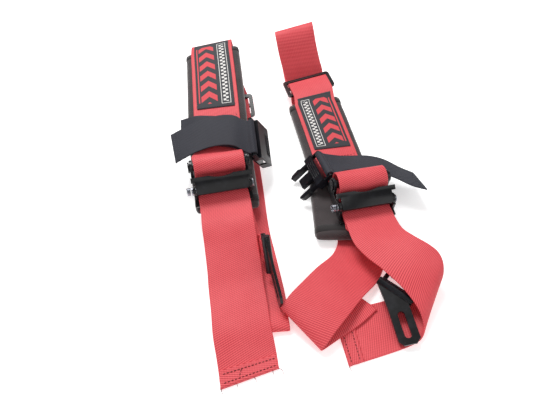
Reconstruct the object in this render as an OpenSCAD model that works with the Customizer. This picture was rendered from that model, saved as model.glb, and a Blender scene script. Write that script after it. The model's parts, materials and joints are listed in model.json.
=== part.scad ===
// Racing harness, shoulder part: two webbing straps with pads, lever adjusters, end links,
// three-bar slides and a side-release chest buckle, laid out on a flat surface.

/* [Webbing] */
// Width of the shoulder webbing
webbing_w = 50; // [44:1:52]
// Thickness of the shoulder webbing
webbing_t = 1.4; // [1:0.1:1.6]
// Width of the chest strap
sternum_w = 38; // [32:1:40]
// Width of the webbing where its edges are folded in at the link
folded_w = 22; // [18:1:26]

/* [Pads] */
// Width of a shoulder pad
pad_w = 64; // [56:1:72]
// Thickness of a shoulder pad
pad_t = 13; // [10:0.5:14]
// Thickness of the pad's cover
cover_t = 1; // [0.8:0.1:1.5]
// Width of the label panel
label_w = 42; // [30:1:46]
// Thickness of the label panel
label_t = 0.5; // [0.4:0.1:0.8]

/* [Adjuster] */
// Thickness of the adjuster's steel
frame_t = 2.5; // [2:0.1:3]
// Radius of the round bar that the webbing turns round
bar_r = 4; // [3:0.5:5]
// Radius of the lever's pivot pin
pin_r = 2.5; // [2:0.25:3]
// Width of the lever's thumb flange
flange_w = 60; // [56:1:64]
// How far the thumb flange stands off its barrel
flange_l = 12; // [10:1:14]
// Wire radius of the lever's spring
spring_wire_r = 0.6; // [0.4:0.1:0.8]

/* [Slide] */
// Thickness of the three-bar slide
slide_t = 3; // [2.4:0.2:3.4]
// Width of each bar of the slide
slide_bar = 4.5; // [4:0.25:5]
// Length of each slot of the slide
slide_slot = 9; // [8.5:0.25:10]

/* [Link] */
// Thickness of the link's steel
link_t = 2.5; // [2:0.1:3]
// Length of the link's nose
nose_l = 34; // [30:1:40]
// Width of the link's nose
nose_w = 19; // [17:1:23]
// Length of the slot in the nose
nose_slot_l = 24; // [18:1:24]
// Width of the slot in the nose
nose_slot_w = 6; // [5:0.5:8]

/* [Buckle] */
// Width of the side-release buckle
buckle_w = 44; // [43:1:50]
// Thickness of the buckle's socket
buckle_t = 11; // [10:0.5:12]
// Wall of the buckle's socket
buckle_wall = 1.8; // [1.5:0.1:2]
// Length of the socket from its strap bar to its mouth
socket_l = 36; // [32:1:40]
// Reach of the plug's prongs
prong_l = 27; // [24:1:30]

/* [Hidden] */

webbing_red = "#e0383f";
cloth_black = "#34343f";
pad_grey = "#4a4242";
steel_black = "#15151c";
plastic_black = "#1c1c24";

// Moves the layout so that the box round the whole harness is centred on the origin
layout_shift = [-22, 24, 0];

flat_z = webbing_t / 2;         // middle of webbing that lies on the surface
gap = 0.3;                      // clearance between neighbouring pieces
turn_gap = 0.35;                // clearance round a bar inside a webbing loop
run_gap = 0.05;                 // running clearance of a pin in its bore
strap_side_gap = 1.3;           // room beside the webbing inside a frame

// ---------------------------------------------------------------- vectors and poses
function unit(v) = v / norm(v);
function xyz(p) = [p[0], p[1], p[2]];
function heading(yaw, roll) = [cos(roll) * cos(yaw), cos(roll) * sin(yaw), sin(roll)];

// A pose is [origin, across, along]; its third axis is across x along
function pose(origin, across, along) =
    let (a = unit(across), b = unit(along - (along * a) * a)) [origin, a, b];
function third(ps) = cross(ps[1], ps[2]);
function to_world(ps, x, y, z) = ps[0] + ps[1] * x + ps[2] * y + third(ps) * z;

module at_pose(ps) {
    n = third(ps);
    o = ps[0] + layout_shift;
    multmatrix([
        [ps[1][0], ps[2][0], n[0], o[0]],
        [ps[1][1], ps[2][1], n[1], o[1]],
        [ps[1][2], ps[2][2], n[2], o[2]],
        [0, 0, 0, 1]
    ]) children();
}

// ---------------------------------------------------------------- ribbons
// A route row is [x, y, z, yaw, roll, width]: a point of the middle line, the direction of
// the ribbon's width and its width there. Rows in a pose's own y-z plane are worked out by
// rows_in. Both come to [x, y, z, width vector, width], which the curve runs through.
function rows_in(ps, pts, w) = [
    for (p = pts) let (c = to_world(ps, 0, p[0], p[1])) concat(c, ps[1], [w])
];
function rows_at(rows) = [
    for (r = rows) concat([r[0], r[1], r[2]], heading(r[3], r[4]), [r[5]])
];
function across_at(p, i) = unit([p[i][3], p[i][4], p[i][5]]);

// Smooth curve through the rows, with slopes taken per unit of length so that it never
// overshoots where long and short spans meet
function span(r, i) = norm(xyz(r[i + 1]) - xyz(r[i]));
function slope(r, i) = let (a = max(i - 1, 0), b = min(i + 1, len(r) - 1))
    (r[b] - r[a]) / ((i > a ? span(r, a) : 0) + (b > i ? span(r, i) : 0));
function hermite(p0, m0, p1, m1, t) =
    (2 * t * t * t - 3 * t * t + 1) * p0 + (t * t * t - 2 * t * t + t) * m0
    + (3 * t * t - 2 * t * t * t) * p1 + (t * t * t - t * t) * m1;
step_len = 5;
function steps(d) = max(2, min(5, ceil(d / step_len)));
// Keeps a row's middle line at least half a thickness above the surface
function rested(row) = [for (j = [0:len(row) - 1]) j == 2 ? max(row[j], flat_z) : row[j]];
function smooth(r) = [
    for (i = [0:len(r) - 2])
        let (d = span(r, i), n = steps(d))
            for (k = [0:n - 1])
                rested(hermite(r[i], slope(r, i) * d, r[i + 1], slope(r, i + 1) * d, k / n)),
    r[len(r) - 1]
];
function tangent(p, i) = unit(xyz(p[min(i + 1, len(p) - 1)]) - xyz(p[max(i - 1, 0)]));
function normal(p, i) = unit(cross(across_at(p, i), tangent(p, i)));

// The row at point i of a smooth path, lifted off it along its normal
function lifted(p, i, lift, w) =
    concat(xyz(p[i]) + normal(p, i) * lift, across_at(p, i), [w]);

// Sweeps a closed outline of [across, up] points along a smooth path. The scale of ring i
// is taken from sizes, or is 1.
function side_faces(n, rings, base = 0) = [
    for (i = [0:rings - 2]) for (k = [0:n - 1]) for (half = [0, 1])
        let (a = base + i * n + k, b = a + n, c = base + i * n + (k + 1) % n, d = c + n)
            half == 0 ? [a, d, b] : [a, c, d]
];
function ring_faces(n, rings) = concat(
    [[for (k = [n - 1:-1:0]) k]],
    side_faces(n, rings),
    [[for (k = [0:n - 1]) (rings - 1) * n + k]]
);
function ring_points(path, outline, sizes = []) = [
    for (i = [0:len(path) - 1])
        let (
            a = across_at(path, i),
            u = normal(path, i),
            s = len(sizes) > 0 ? sizes[i] : [1, 1]
        )
        for (q = outline)
            xyz(path[i]) + layout_shift + a * (q[0] * s[0] * path[i][6]) + u * (q[1] * s[1])
];
module sweep(path, outline, sizes = [])
    polyhedron(ring_points(path, outline, sizes), ring_faces(len(outline), len(path)), convexity = 8);
// A tube: the side faces of the outer outline, those of the inner one turned round, and
// the flat rim at both ends
module sweep_tube(path, outer, inner) {
    n = len(outer);
    rings = len(path);
    total = n * rings;
    inner_sides = [for (f = side_faces(n, rings, total)) [f[0], f[2], f[1]]];
    rims = [
        for (e = [0, rings - 1]) for (k = [0:n - 1]) for (half = [0, 1])
            let (
                a = e * n + k,
                b = e * n + (k + 1) % n,
                c = a + total,
                d = b + total,
                f = half == 0 ? [a, d, b] : [a, c, d]
            )
            e == 0 ? f : [f[0], f[2], f[1]]
    ];
    polyhedron(
        concat(ring_points(path, outer), ring_points(path, inner)),
        concat(side_faces(n, rings), inner_sides, rims),
        convexity = 8
    );
}
// The outline's across values are shares of the row's width
function flat_outline(t) = [[-0.5, -t / 2], [0.5, -t / 2], [0.5, t / 2], [-0.5, t / 2]];
module ribbon(rows, t) sweep(smooth(rows), flat_outline(t));

// Rounded pad outline: width share across, half thickness up
pad_points = 20;
function pad_outline(t) = [
    for (k = [0:pad_points - 1])
        let (a = 360 * k / pad_points, c = cos(a), s = sin(a))
            [0.5 * sign(c) * pow(abs(c), 0.35), t / 2 * sign(s) * pow(abs(s), 0.55)]
];

// ---------------------------------------------------------------- adjuster
// Local frame: x across the webbing, y towards the pad's far end, z up
inner_w = webbing_w + 2 * strap_side_gap;      // between the ears
left_turn_r = 9.6;                             // middle of the webbing round the left bar
right_turn_r = 11.2;                           // and round the right one, a looser turn
bar_at = [10, 4];
pin_at = [-13, -2.4];
plate_top = -11.5;
plate_front = -26;
plate_back = 21.5;
anchor_slot = [10, 17];                        // from, to along y
barrel_r = 5;
ear_r = 6;
head_r = 4.2;
head_t = 1.6;
layer_low = plate_top + gap + webbing_t / 2 + 0.1;
layer_high = layer_low + webbing_t + gap + 0.1;
flange_lean = 33;                              // slope of the thumb flange at rest
flange_t = 2.4;
flange_from = 3.5;                             // how far it reaches past the pin
flange_off = 4.0;                              // its inner face, from the pin's axis
wing_from = 8.5;                               // the flange widens this far from the pin
dip_r = 34;
dip_depth = 2.2;

module side_plate() {
    rotate([90, 0, 90]) linear_extrude(frame_t) difference() {
        union() {
            translate([plate_front + 6, plate_top - frame_t]) square([plate_back - plate_front - 8, 12]);
            translate(pin_at) circle(ear_r, $fn = 48);
            translate([pin_at[0] - ear_r, plate_top]) square([2 * ear_r, 9]);
            translate(bar_at) circle(bar_r + 3, $fn = 48);
            translate([bar_at[0] - bar_r - 3, plate_top]) square([2 * (bar_r + 3), 15.5]);
        }
        translate(pin_at) circle(pin_r + run_gap, $fn = 48);
        translate(bar_at) circle(bar_r + run_gap, $fn = 48);
    }
}
module adjuster_frame() {
    color(steel_black) {
        difference() {
            translate([-inner_w / 2 - frame_t, plate_front, plate_top - frame_t])
                cube([inner_w + 2 * frame_t, plate_back - plate_front, frame_t]);
            translate([-webbing_w / 2 - 1, anchor_slot[0], plate_top - 2 * frame_t])
                cube([webbing_w + 2, anchor_slot[1] - anchor_slot[0], 3 * frame_t]);
        }
        translate([inner_w / 2, 0, 0]) side_plate();
        translate([-inner_w / 2 - frame_t, 0, 0]) side_plate();
    }
}
module cross_rod(at, r, head) {
    half = inner_w / 2 + frame_t + gap;
    translate([0, at[0], at[1]]) rotate([0, 90, 0]) {
        cylinder(r = r, h = 2 * half, center = true, $fn = 48);
        for (s = [-1, 1])
            translate([0, 0, s * (half + head_t / 2)]) cylinder(r = head, h = head_t, center = true, $fn = 48);
    }
}
module adjuster_bar() color(steel_black) cross_rod(bar_at, bar_r, bar_r + 1.4);
module lever_pin() color("#6f747c") cross_rod(pin_at, pin_r, head_r);

module lever() {
    barrel_l = inner_w - 2 * 0.4;
    color(steel_black) translate([0, pin_at[0], pin_at[1]]) difference() {
        union() {
            rotate([0, 90, 0]) cylinder(r = barrel_r, h = barrel_l, center = true, $fn = 64);
            rotate([flange_lean, 0, 0]) translate([0, 0, flange_off]) {
                translate([-barrel_l / 2, -flange_from, 0])
                    cube([barrel_l, wing_from + flange_from, flange_t]);
                linear_extrude(flange_t) difference() {
                    translate([-flange_w / 2, wing_from]) square([flange_w, flange_l - wing_from + 1.5]);
                    translate([0, flange_l + 1.5 + dip_r - dip_depth]) circle(dip_r, $fn = 96);
                }
            }
        }
        rotate([0, 90, 0]) cylinder(r = pin_r + run_gap, h = inner_w + 4, center = true, $fn = 48);
    }
}
spring_turns = 3;
spring_r = pin_r + 1.9;
module lever_spring() {
    pitch = 2 * spring_wire_r + 0.02;
    start = inner_w / 2 + frame_t + gap + head_t + 0.3;
    color("#8a8f98") translate([-start, pin_at[0], pin_at[1]]) rotate([0, -90, 0]) {
        for (k = [0:spring_turns - 1])
            translate([0, 0, k * pitch + spring_wire_r])
                rotate_extrude($fn = 48) translate([spring_r - 1, 0]) circle(spring_wire_r + 0.05, $fn = 16);
    }
}

// Webbing inside the adjuster: low layer in, round the bar, high layer out
function round_bar(r, from, to, n) = [
    for (k = [0:n])
        let (a = from + (to - from) * k / n) [bar_at[0] + r * cos(a), bar_at[1] + r * sin(a)]
];
adjuster_low = [
    [-34, layer_low - 1.2], [-27, layer_low - 0.1], [-22, layer_low], [-13, layer_low],
    [-4, layer_low + 0.8], [3, layer_low + 3.2]
];
function adjuster_turn(r) = round_bar(r, -85, 190, 12);
adjuster_high = [[-2.4, -3], [-6.5, -7.3], [-13, layer_high], [-22, layer_high + 0.1], [-32, layer_high + 1.2]];

// Webbing sewn round the frame's rear bar, from its short end to where it leaves
anchor_mid = (anchor_slot[1] + plate_back) / 2;
anchor_out = webbing_t / 2 + turn_gap;
bar_low = plate_top - frame_t - anchor_out;
bar_high = plate_top + anchor_out;
anchor_rows = [
    [plate_back + 9, bar_low - 1], [plate_back + 4, bar_low - 0.3], [plate_back, bar_low],
    [anchor_slot[1] - 0.2, bar_low - 0.2], [anchor_slot[1] - anchor_out - 0.6, plate_top - frame_t / 2],
    [anchor_slot[1] - 0.2, bar_high + 0.2], [plate_back, bar_high],
    [plate_back + 4.5, bar_high - 0.9], [plate_back + 9.5, bar_low + webbing_t + gap - 0.6]
];

// ---------------------------------------------------------------- three-bar slide
slide_half = slide_bar / 2 + slide_slot + slide_bar;
slide_w = webbing_w + 2.4 + 2 * slide_bar;
module tri_glide() {
    corner = 4;
    color(steel_black) translate([0, 0, -slide_t / 2]) linear_extrude(slide_t) difference() {
        union() {
            square([slide_w - 2 * corner, 2 * slide_half], center = true);
            square([slide_w, 2 * slide_half - 2 * corner], center = true);
            for (sx = [-1, 1]) for (sy = [-1, 1])
                translate([sx * (slide_w / 2 - corner), sy * (slide_half - corner)]) circle(corner, $fn = 32);
        }
        for (s = [-1, 1])
            translate([0, s * (slide_bar + slide_slot) / 2]) square([webbing_w + 2.4, slide_slot], center = true);
    }
}
// First pass of the webbing, from the front over two bars and under the rear one
slide_first = [
    [-22, 3.4], [-14, 4.5], [-6, 4.6], [0, 4.5], [4.5, 4.2], [7.8, 0.8],
    [11.2, -3.1], [15.5, -3.3], [20, -3.4]
];
// Second pass, from the rear, up, over the middle bar and down through the front slot
slide_second = [
    [20, -6.4], [15.5, -5.9], [11.5, -5.3], [8.4, -4], [5.6, -0.6],
    [3.2, 2.3], [0, 2.5], [-3.2, 2.3], [-5.6, -0.6]
];
// Below the front bar, on the way into the front slot
slide_under = [[-18, -4.6], [-12, -4]];
function reversed(v) = [for (i = [len(v) - 1:-1:0]) v[i]];

// ---------------------------------------------------------------- link
// Local frame: x along the strap bar, y away from the strap, z normal to the plate; origin on
// the bar. The nose leans towards +x.
link_bar_r = 2.2;
link_slot_l = 8;
head_w = folded_w + 10;
link_turn = link_bar_r + turn_gap + webbing_t / 2;
nose_lean = 50;
neck_l = 17;
nose_way = [sin(nose_lean), cos(nose_lean)];
nose_side = [-cos(nose_lean), sin(nose_lean)];
nose_root = [head_w / 2, neck_l];
chamfer = 4;
function on_nose(x, y) = nose_root + nose_side * x + nose_way * y;
module link_plate() {
    slot_mid = nose_w / 2;
    slot_from = nose_l - 5.5 - nose_slot_l + nose_slot_w / 2;
    slot_to = nose_l - 5.5 - nose_slot_w / 2;
    color(steel_black) {
        translate([0, 0, -link_t / 2]) linear_extrude(link_t) difference() {
            polygon([
                [-head_w / 2, 0], [head_w / 2, 0], nose_root, on_nose(0, nose_l - chamfer),
                on_nose(chamfer, nose_l), on_nose(nose_w - chamfer, nose_l),
                on_nose(nose_w, nose_l - chamfer), on_nose(nose_w, 0), [-head_w / 2, neck_l]
            ]);
            translate([-folded_w / 2 - 1, -1]) square([folded_w + 2, link_slot_l + 1]);
            translate(on_nose(slot_mid, slot_from)) circle(nose_slot_w / 2, $fn = 48);
            translate(on_nose(slot_mid, slot_to)) circle(nose_slot_w / 2, $fn = 48);
            polygon([
                on_nose(slot_mid - nose_slot_w / 2, slot_from), on_nose(slot_mid + nose_slot_w / 2, slot_from),
                on_nose(slot_mid + nose_slot_w / 2, slot_to), on_nose(slot_mid - nose_slot_w / 2, slot_to)
            ]);
        }
        rotate([0, 90, 0]) cylinder(r = link_bar_r, h = head_w, center = true, $fn = 48);
    }
}
cover_r = 4;
cover_at = neck_l - cover_r - 0.3;
module link_cover() {
    wall = 1.6;
    half = link_t / 2 + 0.1;
    color(plastic_black) translate([0, cover_at, 0]) difference() {
        rotate([0, 90, 0]) cylinder(r = cover_r, h = head_w + 2 * wall, center = true, $fn = 48);
        translate([-head_w / 2 - 0.1, -cover_r - 1, -half]) cube([head_w + 0.2, 2 * cover_r + 2, 2 * half]);
    }
}
// Folded webbing round the link's bar, short end first
link_rows = [
    [-13, -1.3], [-8, -1.6], [-3, -link_turn + 0.1], [0.2, -link_turn], [2.3, -2.3], [link_turn, 0],
    [2.3, 2.3], [0.2, link_turn], [-3, link_turn - 0.1], [-8, 1.5], [-16, 1.0]
];

// ---------------------------------------------------------------- side-release buckle
// Local frame: x along the strap's width, y towards the mating half, z normal; origin on
// the strap bar
buckle_bar_r = 2.2;
buckle_turn = buckle_bar_r + turn_gap + webbing_t / 2;
strap_slot_l = 7;
buckle_inner_w = sternum_w + 2;
cheek = (buckle_w - buckle_inner_w) / 2;
body_from = strap_slot_l;
module strap_end(t) {
    rotate([0, 90, 0]) cylinder(r = buckle_bar_r, h = buckle_w, center = true, $fn = 48);
    for (s = [-1, 1])
        translate([s * (buckle_w / 2 - cheek / 2) - cheek / 2, 0, -t / 2]) cube([cheek, body_from + 0.5, t]);
}
module socket() {
    cavity_w = buckle_w - 2 * buckle_wall;
    cavity_t = buckle_t - 2 * buckle_wall;
    color(plastic_black) {
        strap_end(4.4);
        difference() {
            translate([-buckle_w / 2, body_from, -buckle_t / 2]) cube([buckle_w, socket_l - body_from, buckle_t]);
            translate([-cavity_w / 2, body_from + 2, -cavity_t / 2]) cube([cavity_w, socket_l, cavity_t]);
            for (s = [-1, 1])
                translate([s * buckle_w / 2 - 4, body_from + 6, -cavity_t / 2]) cube([8, 13, cavity_t]);
        }
    }
}
prong_w = 7;
prong_t = 5.6;
guide_w = 13;
block_l = 10;
prong_x = buckle_w / 2 - prong_w / 2 - 2;
hinge_r = 2.2;
prong_pin_r = 1;
prong_hinge_y = body_from + block_l - hinge_r - 1;
module plug_body() {
    color(plastic_black) {
        strap_end(4.4);
        difference() {
            translate([-buckle_w / 2, body_from, -buckle_t / 2 + 1]) cube([buckle_w, block_l, buckle_t - 2]);
            for (s = [-1, 1])
                translate([s * prong_x, prong_hinge_y, 0]) {
                    cylinder(r = hinge_r + 2 * gap, h = prong_t + 1, center = true, $fn = 48);
                    translate([-prong_w / 2 - 0.8, 0, -prong_t / 2 - 0.5]) cube([prong_w + 1.6, block_l, prong_t + 1]);
                }
        }
        translate([-guide_w / 2, body_from + block_l - 0.5, -2]) cube([guide_w, 17, 4]);
        for (s = [-1, 1])
            translate([s * prong_x, prong_hinge_y, 0]) {
                cylinder(r = prong_pin_r, h = buckle_t - 2.5, center = true, $fn = 32);
            }
    }
}
prong_points = [
    [-1.9, 0], [1.9, 0], [2.2, prong_l * 0.45], [4.2, prong_l * 0.55],
    [3.2, prong_l - 3], [0.4, prong_l], [-1.6, prong_l - 1]
];
// One spring prong of the plug: side is -1 or 1
module prong(side) {
    color(plastic_black) translate([side * prong_x, prong_hinge_y, -prong_t / 2]) linear_extrude(prong_t) difference() {
        union() {
            circle(hinge_r, $fn = 48);
            polygon([for (q = side > 0 ? prong_points : reversed(prong_points)) [side * q[0], q[1]]]);
        }
        circle(prong_pin_r + run_gap, $fn = 32);
    }
}
// Chest strap round a buckle's bar, arriving from below square to the buckle, lower layer first
buckle_rows = [
    [buckle_turn, -4], [buckle_turn - 0.15, 0.9], [2.3, 2.3], [0, buckle_turn],
    [-2.3, 2.3], [0.15 - buckle_turn, 0.9], [-buckle_turn, -4]
];

// ---------------------------------------------------------------- layout, left half
left_adjuster = pose([-54, -56, 48], heading(13, 0), [-sin(13) * cos(20), cos(13) * cos(20), sin(20)]);
left_pad_rows = [
    [-46, -82, 13, 8, 0, pad_w], [-53, -38, 27, 9, 0, pad_w], [-61, 12, 43, 7, 2, pad_w],
    [-66, 55, 53, 7, 4, pad_w], [-71, 98, 60, 7, 6, pad_w], [-75, 130, 64, 8, 8, pad_w], [-77, 146, 64, 9, 8, pad_w]
];
left_slide = pose([-56, 82, 26], heading(8, 3), [-0.2, 0.9, 0.36]);
left_socket_pose = pose([-24, -5, 53], [0.12, -0.9, -0.42], [0.33, 0.6, -0.73]);
left_link = pose([-9, -130, 21], [0.135, -0.525, -0.841], [0.21, -0.815, 0.542]);
strip_lift = pad_t / 2 + gap + webbing_t / 2 + 0.3;
left_pad_path = smooth(rows_at(left_pad_rows));
function strip_on(path, from, to) = [for (i = [from:to]) lifted(path, i, strip_lift, webbing_w)];

left_rear_rows = concat(
    rows_in(left_adjuster, anchor_rows, webbing_w),
    strip_on(left_pad_path, 8, len(left_pad_path) - 3),
    rows_at([
        [-78, 152, 71, 9, 8, webbing_w], [-78, 157, 66, 9, 8, webbing_w], [-77, 159, 58, 9, 8, webbing_w],
        [-76, 155, 51, 9, 7, webbing_w], [-73, 143, 45, 9, 6, webbing_w], [-67, 122, 37, 8, 4, webbing_w]
    ]),
    rows_in(left_slide, reversed(slide_first), webbing_w),
    rows_at([
        [-50, 48, 16, 8, 2, webbing_w], [-43, 6, 6, 8, 0, webbing_w], [-38, -30, 2.8, 8, 0, webbing_w],
        [-31, -90, 2.8, 8, 0, webbing_w], [-24, -126, 2.8, 9, 0, webbing_w], [-17, -162, 3.4, 8, 0, webbing_w],
        [-14, -184, 5.6, 7, 0, webbing_w], [-13, -197, 7, 6, 0, webbing_w], [-12, -204, 6, 5, 0, webbing_w],
        [-12, -206, 3.8, 5, 0, webbing_w], [-13, -203, 1.9, 5, 0, webbing_w], [-14, -194, 1.1, 6, 0, webbing_w],
        [-18, -162, flat_z, 8, 0, webbing_w], [-24, -126, flat_z, 9, 0, webbing_w],
        [-31, -90, flat_z, 8, 0, webbing_w], [-38, -30, flat_z, 8, 0, webbing_w], [-43, 6, 2.6, 8, 0, webbing_w],
        [-49, 38, 8, 8, 2, webbing_w]
    ]),
    rows_in(left_slide, concat(slide_under, reversed(slide_second)), webbing_w)
);
left_sternum_rows = concat(
    rows_at([
        [-101, 9, 46, 276, -13, sternum_w], [-84, 7, 52.2, 274, -16, sternum_w], [-62, 4, 54.2, 273, -17, sternum_w],
        [-44, 1, 54.4, 274, -19, sternum_w]
    ]),
    rows_in(left_socket_pose, buckle_rows, sternum_w),
    rows_at([
        [-44, -1, 58.8, 274, -19, sternum_w], [-62, 0, 57.4, 272, -17, sternum_w], [-82, -5, 53.4, 275, -16, sternum_w],
        [-98, -10, 47.5, 280, -14, sternum_w], [-107, -13, 43.5, 284, -13, sternum_w]
    ])
);
left_front_rows = concat(
    rows_in(left_link, link_rows, folded_w),
    rows_at([[-18, -114, 17, 345, -36, 24], [-31, -103, 17, 5, -10, 32]]),
    rows_in(left_adjuster, adjuster_low, webbing_w),
    rows_in(left_adjuster, adjuster_turn(left_turn_r), webbing_w),
    rows_in(left_adjuster, adjuster_high, webbing_w),
    rows_at([
        [-45, -102, 30, 11, 0, webbing_w], [-41, -124, 22, 10, 0, webbing_w], [-37, -147, 14.5, 10, 0, webbing_w],
        [-35, -162, 11, 10, 0, webbing_w], [-31, -185, 10, 10, 0, webbing_w], [-28, -206, 8.5, 12, 0, webbing_w],
        [-24, -224, 3.2, 16, 0, webbing_w], [-22, -234, flat_z + 0.2, 18, 0, webbing_w],
        [-20, -246, flat_z, 21, 0, webbing_w]
    ])
);

// ---------------------------------------------------------------- layout, right half
right_adjuster = pose([87, -66, 34.5], heading(13, 0), [-sin(13) * cos(10), cos(13) * cos(10), sin(10)]);
right_pad_rows = [
    [72.5, -118, 9.2, 2, 0, pad_w], [70, -50, 8.8, 2, 0, pad_w], [68, 0, 8.5, 8, 0, pad_w],
    [61, 45, 9, 10, 2, pad_w], [54, 82, 11, 11, 4, pad_w], [47, 118, 13, 12, 6, pad_w]
];
right_slide = pose([43, 140, 21], heading(14, 8), [-0.22, 0.97, 0.02]);
right_plug_pose = pose([51.5, -26, 34], [-0.25, 0.95, -0.1], [-0.68, -0.25, -0.68]);
right_link = pose([115, -161, 16.5], [0.775, -0.633, -0.046], [-0.62, -0.74, -0.19]);
right_pad_path = smooth(rows_at(right_pad_rows));

right_rear_rows = concat(
    rows_in(right_adjuster, anchor_rows, webbing_w),
    strip_on(right_pad_path, 9, len(right_pad_path) - 3),
    rows_in(right_slide, slide_first, webbing_w),
    rows_at([
        [38, 162, 22, 14, 9, webbing_w], [34, 166, 34, 14, 9, webbing_w], [29, 172, 52, 14, 9, webbing_w],
        [26, 178, 65, 14, 9, webbing_w], [24, 186, 72, 14, 9, webbing_w], [24, 195, 70, 14, 9, webbing_w],
        [25, 200, 60, 14, 9, webbing_w], [28, 200, 42, 14, 9, webbing_w], [33, 192, 24, 14, 8, webbing_w],
        [37, 174, 13, 14, 8, webbing_w]
    ]),
    rows_in(right_slide, slide_second, webbing_w),
    rows_at([
        [45, 132, 9, 14, 5, webbing_w], [46, 127, 4.8, 13, 2, webbing_w], [48, 121, 2.2, 12, 0, webbing_w],
        [50, 112, 1, 12, 0, webbing_w], [54, 90, flat_z, 11, 0, webbing_w], [62, 45, flat_z, 8, 0, webbing_w], [68, 0, flat_z, 2, 0, webbing_w],
        [73, -40, flat_z, -8, 0, webbing_w], [79, -78, flat_z, -20, 0, webbing_w], [84, -112, 1, -30, 0, webbing_w],
        [76, -137, 5.5, -36, 0, webbing_w], [58, -160, 12, -38, -3, webbing_w], [42, -182, 17, -38, -6, webbing_w],
        [32, -195, 18, -40, -8, webbing_w], [25, -204, 15, -44, -9, webbing_w], [22, -206, 10.5, -47, -9, webbing_w],
        [26, -202, 7, -50, -9, webbing_w], [38, -193, 5.5, -50, -6, webbing_w], [58, -179, 3.6, -46, 0, webbing_w],
        [72, -166, 3, -42, 0, webbing_w]
    ])
);
right_sternum_rows = concat(
    rows_at([[83, -20, 25.4, 92, -19, sternum_w], [68, -22, 27, 94, -18, sternum_w]]),
    rows_in(right_plug_pose, buckle_rows, sternum_w),
    rows_at([
        [70, -21.5, 31.4, 94, -18, sternum_w], [86, -19, 29.6, 92, -19, sternum_w],
        [102, -19, 28.5, 92, -16, sternum_w], [120, -24.5, 27, 96, -13, sternum_w],
        [138, -33, 23, 98, -13, sternum_w], [153, -36, 19, 100, -15, sternum_w]
    ])
);
right_front_rows = concat(
    rows_in(right_link, link_rows, folded_w),
    rows_at([[122, -130, 18.5, 345, -4, 28], [106, -112, 17, 358, 0, 40]]),
    rows_in(right_adjuster, adjuster_low, webbing_w),
    rows_in(right_adjuster, adjuster_turn(right_turn_r), webbing_w),
    rows_in(right_adjuster, adjuster_high, webbing_w),
    rows_at([
        [98, -116, 24.5, 17, 5, webbing_w], [106, -130, 27, 21, 9, webbing_w], [119, -144, 28, 29, 9, webbing_w],
        [130, -157, 26, 42, 9, webbing_w], [137, -171, 21, 55, 10, webbing_w], [138, -182, 13, 63, 9, webbing_w],
        [133, -188, 6, 70, 3, webbing_w], [124, -191, 2.4, 78, 0, webbing_w], [112, -194, 1, 86, 0, webbing_w],
        [98, -198, flat_z, 92, 0, webbing_w], [56, -211, flat_z, 101, 0, webbing_w]
    ])
);

// ---------------------------------------------------------------- pads
function part_of(path, from, to) = [for (i = [from:to]) path[i]];
function inset_outline(by) = [
    for (q = pad_outline(pad_t - 2 * by)) [q[0] * (pad_w - 2 * by) / pad_w, q[1]]
];
module pad_cover(path) color(pad_grey)
    sweep_tube(part_of(path, 1, len(path) - 2), pad_outline(pad_t), inset_outline(cover_t));
module pad_foam(path) color("#d8d0c0")
    sweep(part_of(path, 1, len(path) - 2), inset_outline(cover_t + gap));
// Rounded ends: the outline shrinks over the last few millimetres
module pad_end(path, i, way) {
    p = path[i];
    t = tangent(path, i) * way;
    steps_out = [0, 1.2, 2.4, 3.2];
    sizes = [[1, 1], [0.98, 0.9], [0.95, 0.7], [0.9, 0.4]];
    rows = [for (k = [0:3]) concat(xyz(p) + t * (gap + steps_out[k]), across_at(path, i), [p[6]])];
    if (way > 0) sweep(rows, pad_outline(pad_t), sizes);
    else sweep(reversed(rows), pad_outline(pad_t), reversed(sizes));
}
module pad_ends(path) color("#2c2626") {
    pad_end(path, 1, -1);
    pad_end(path, len(path) - 2, 1);
}
label_lift = webbing_t / 2 + gap / 2 + label_t / 2;
module label(path, from, to) color("#3a3d40")
    sweep([for (i = [from:to]) lifted(path, i, label_lift, label_w)], flat_outline(label_t));

// ---------------------------------------------------------------- nodes
module left_pad_cover() pad_cover(left_pad_path);
module left_pad_foam() pad_foam(left_pad_path);
module left_pad_ends() pad_ends(left_pad_path);
left_rear_path = smooth(left_rear_rows);
right_rear_path = smooth(right_rear_rows);
module left_label() label(left_rear_path, 32, 63);
module left_rear_strap() color(webbing_red) ribbon(left_rear_rows, webbing_t);
module left_tri_glide() at_pose(left_slide) tri_glide();
module left_sternum_strap() color(cloth_black) ribbon(left_sternum_rows, webbing_t);
module left_adjuster_frame() at_pose(left_adjuster) adjuster_frame();
module left_adjuster_bar() at_pose(left_adjuster) adjuster_bar();
module left_lever() at_pose(left_adjuster) lever();
module left_lever_pin() at_pose(left_adjuster) lever_pin();
module left_lever_spring() at_pose(left_adjuster) lever_spring();
module left_front_strap() color(webbing_red) ribbon(left_front_rows, webbing_t);
module left_link_plate() at_pose(left_link) link_plate();
module left_link_cover() at_pose(left_link) link_cover();
module left_socket() at_pose(left_socket_pose) socket();

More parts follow.
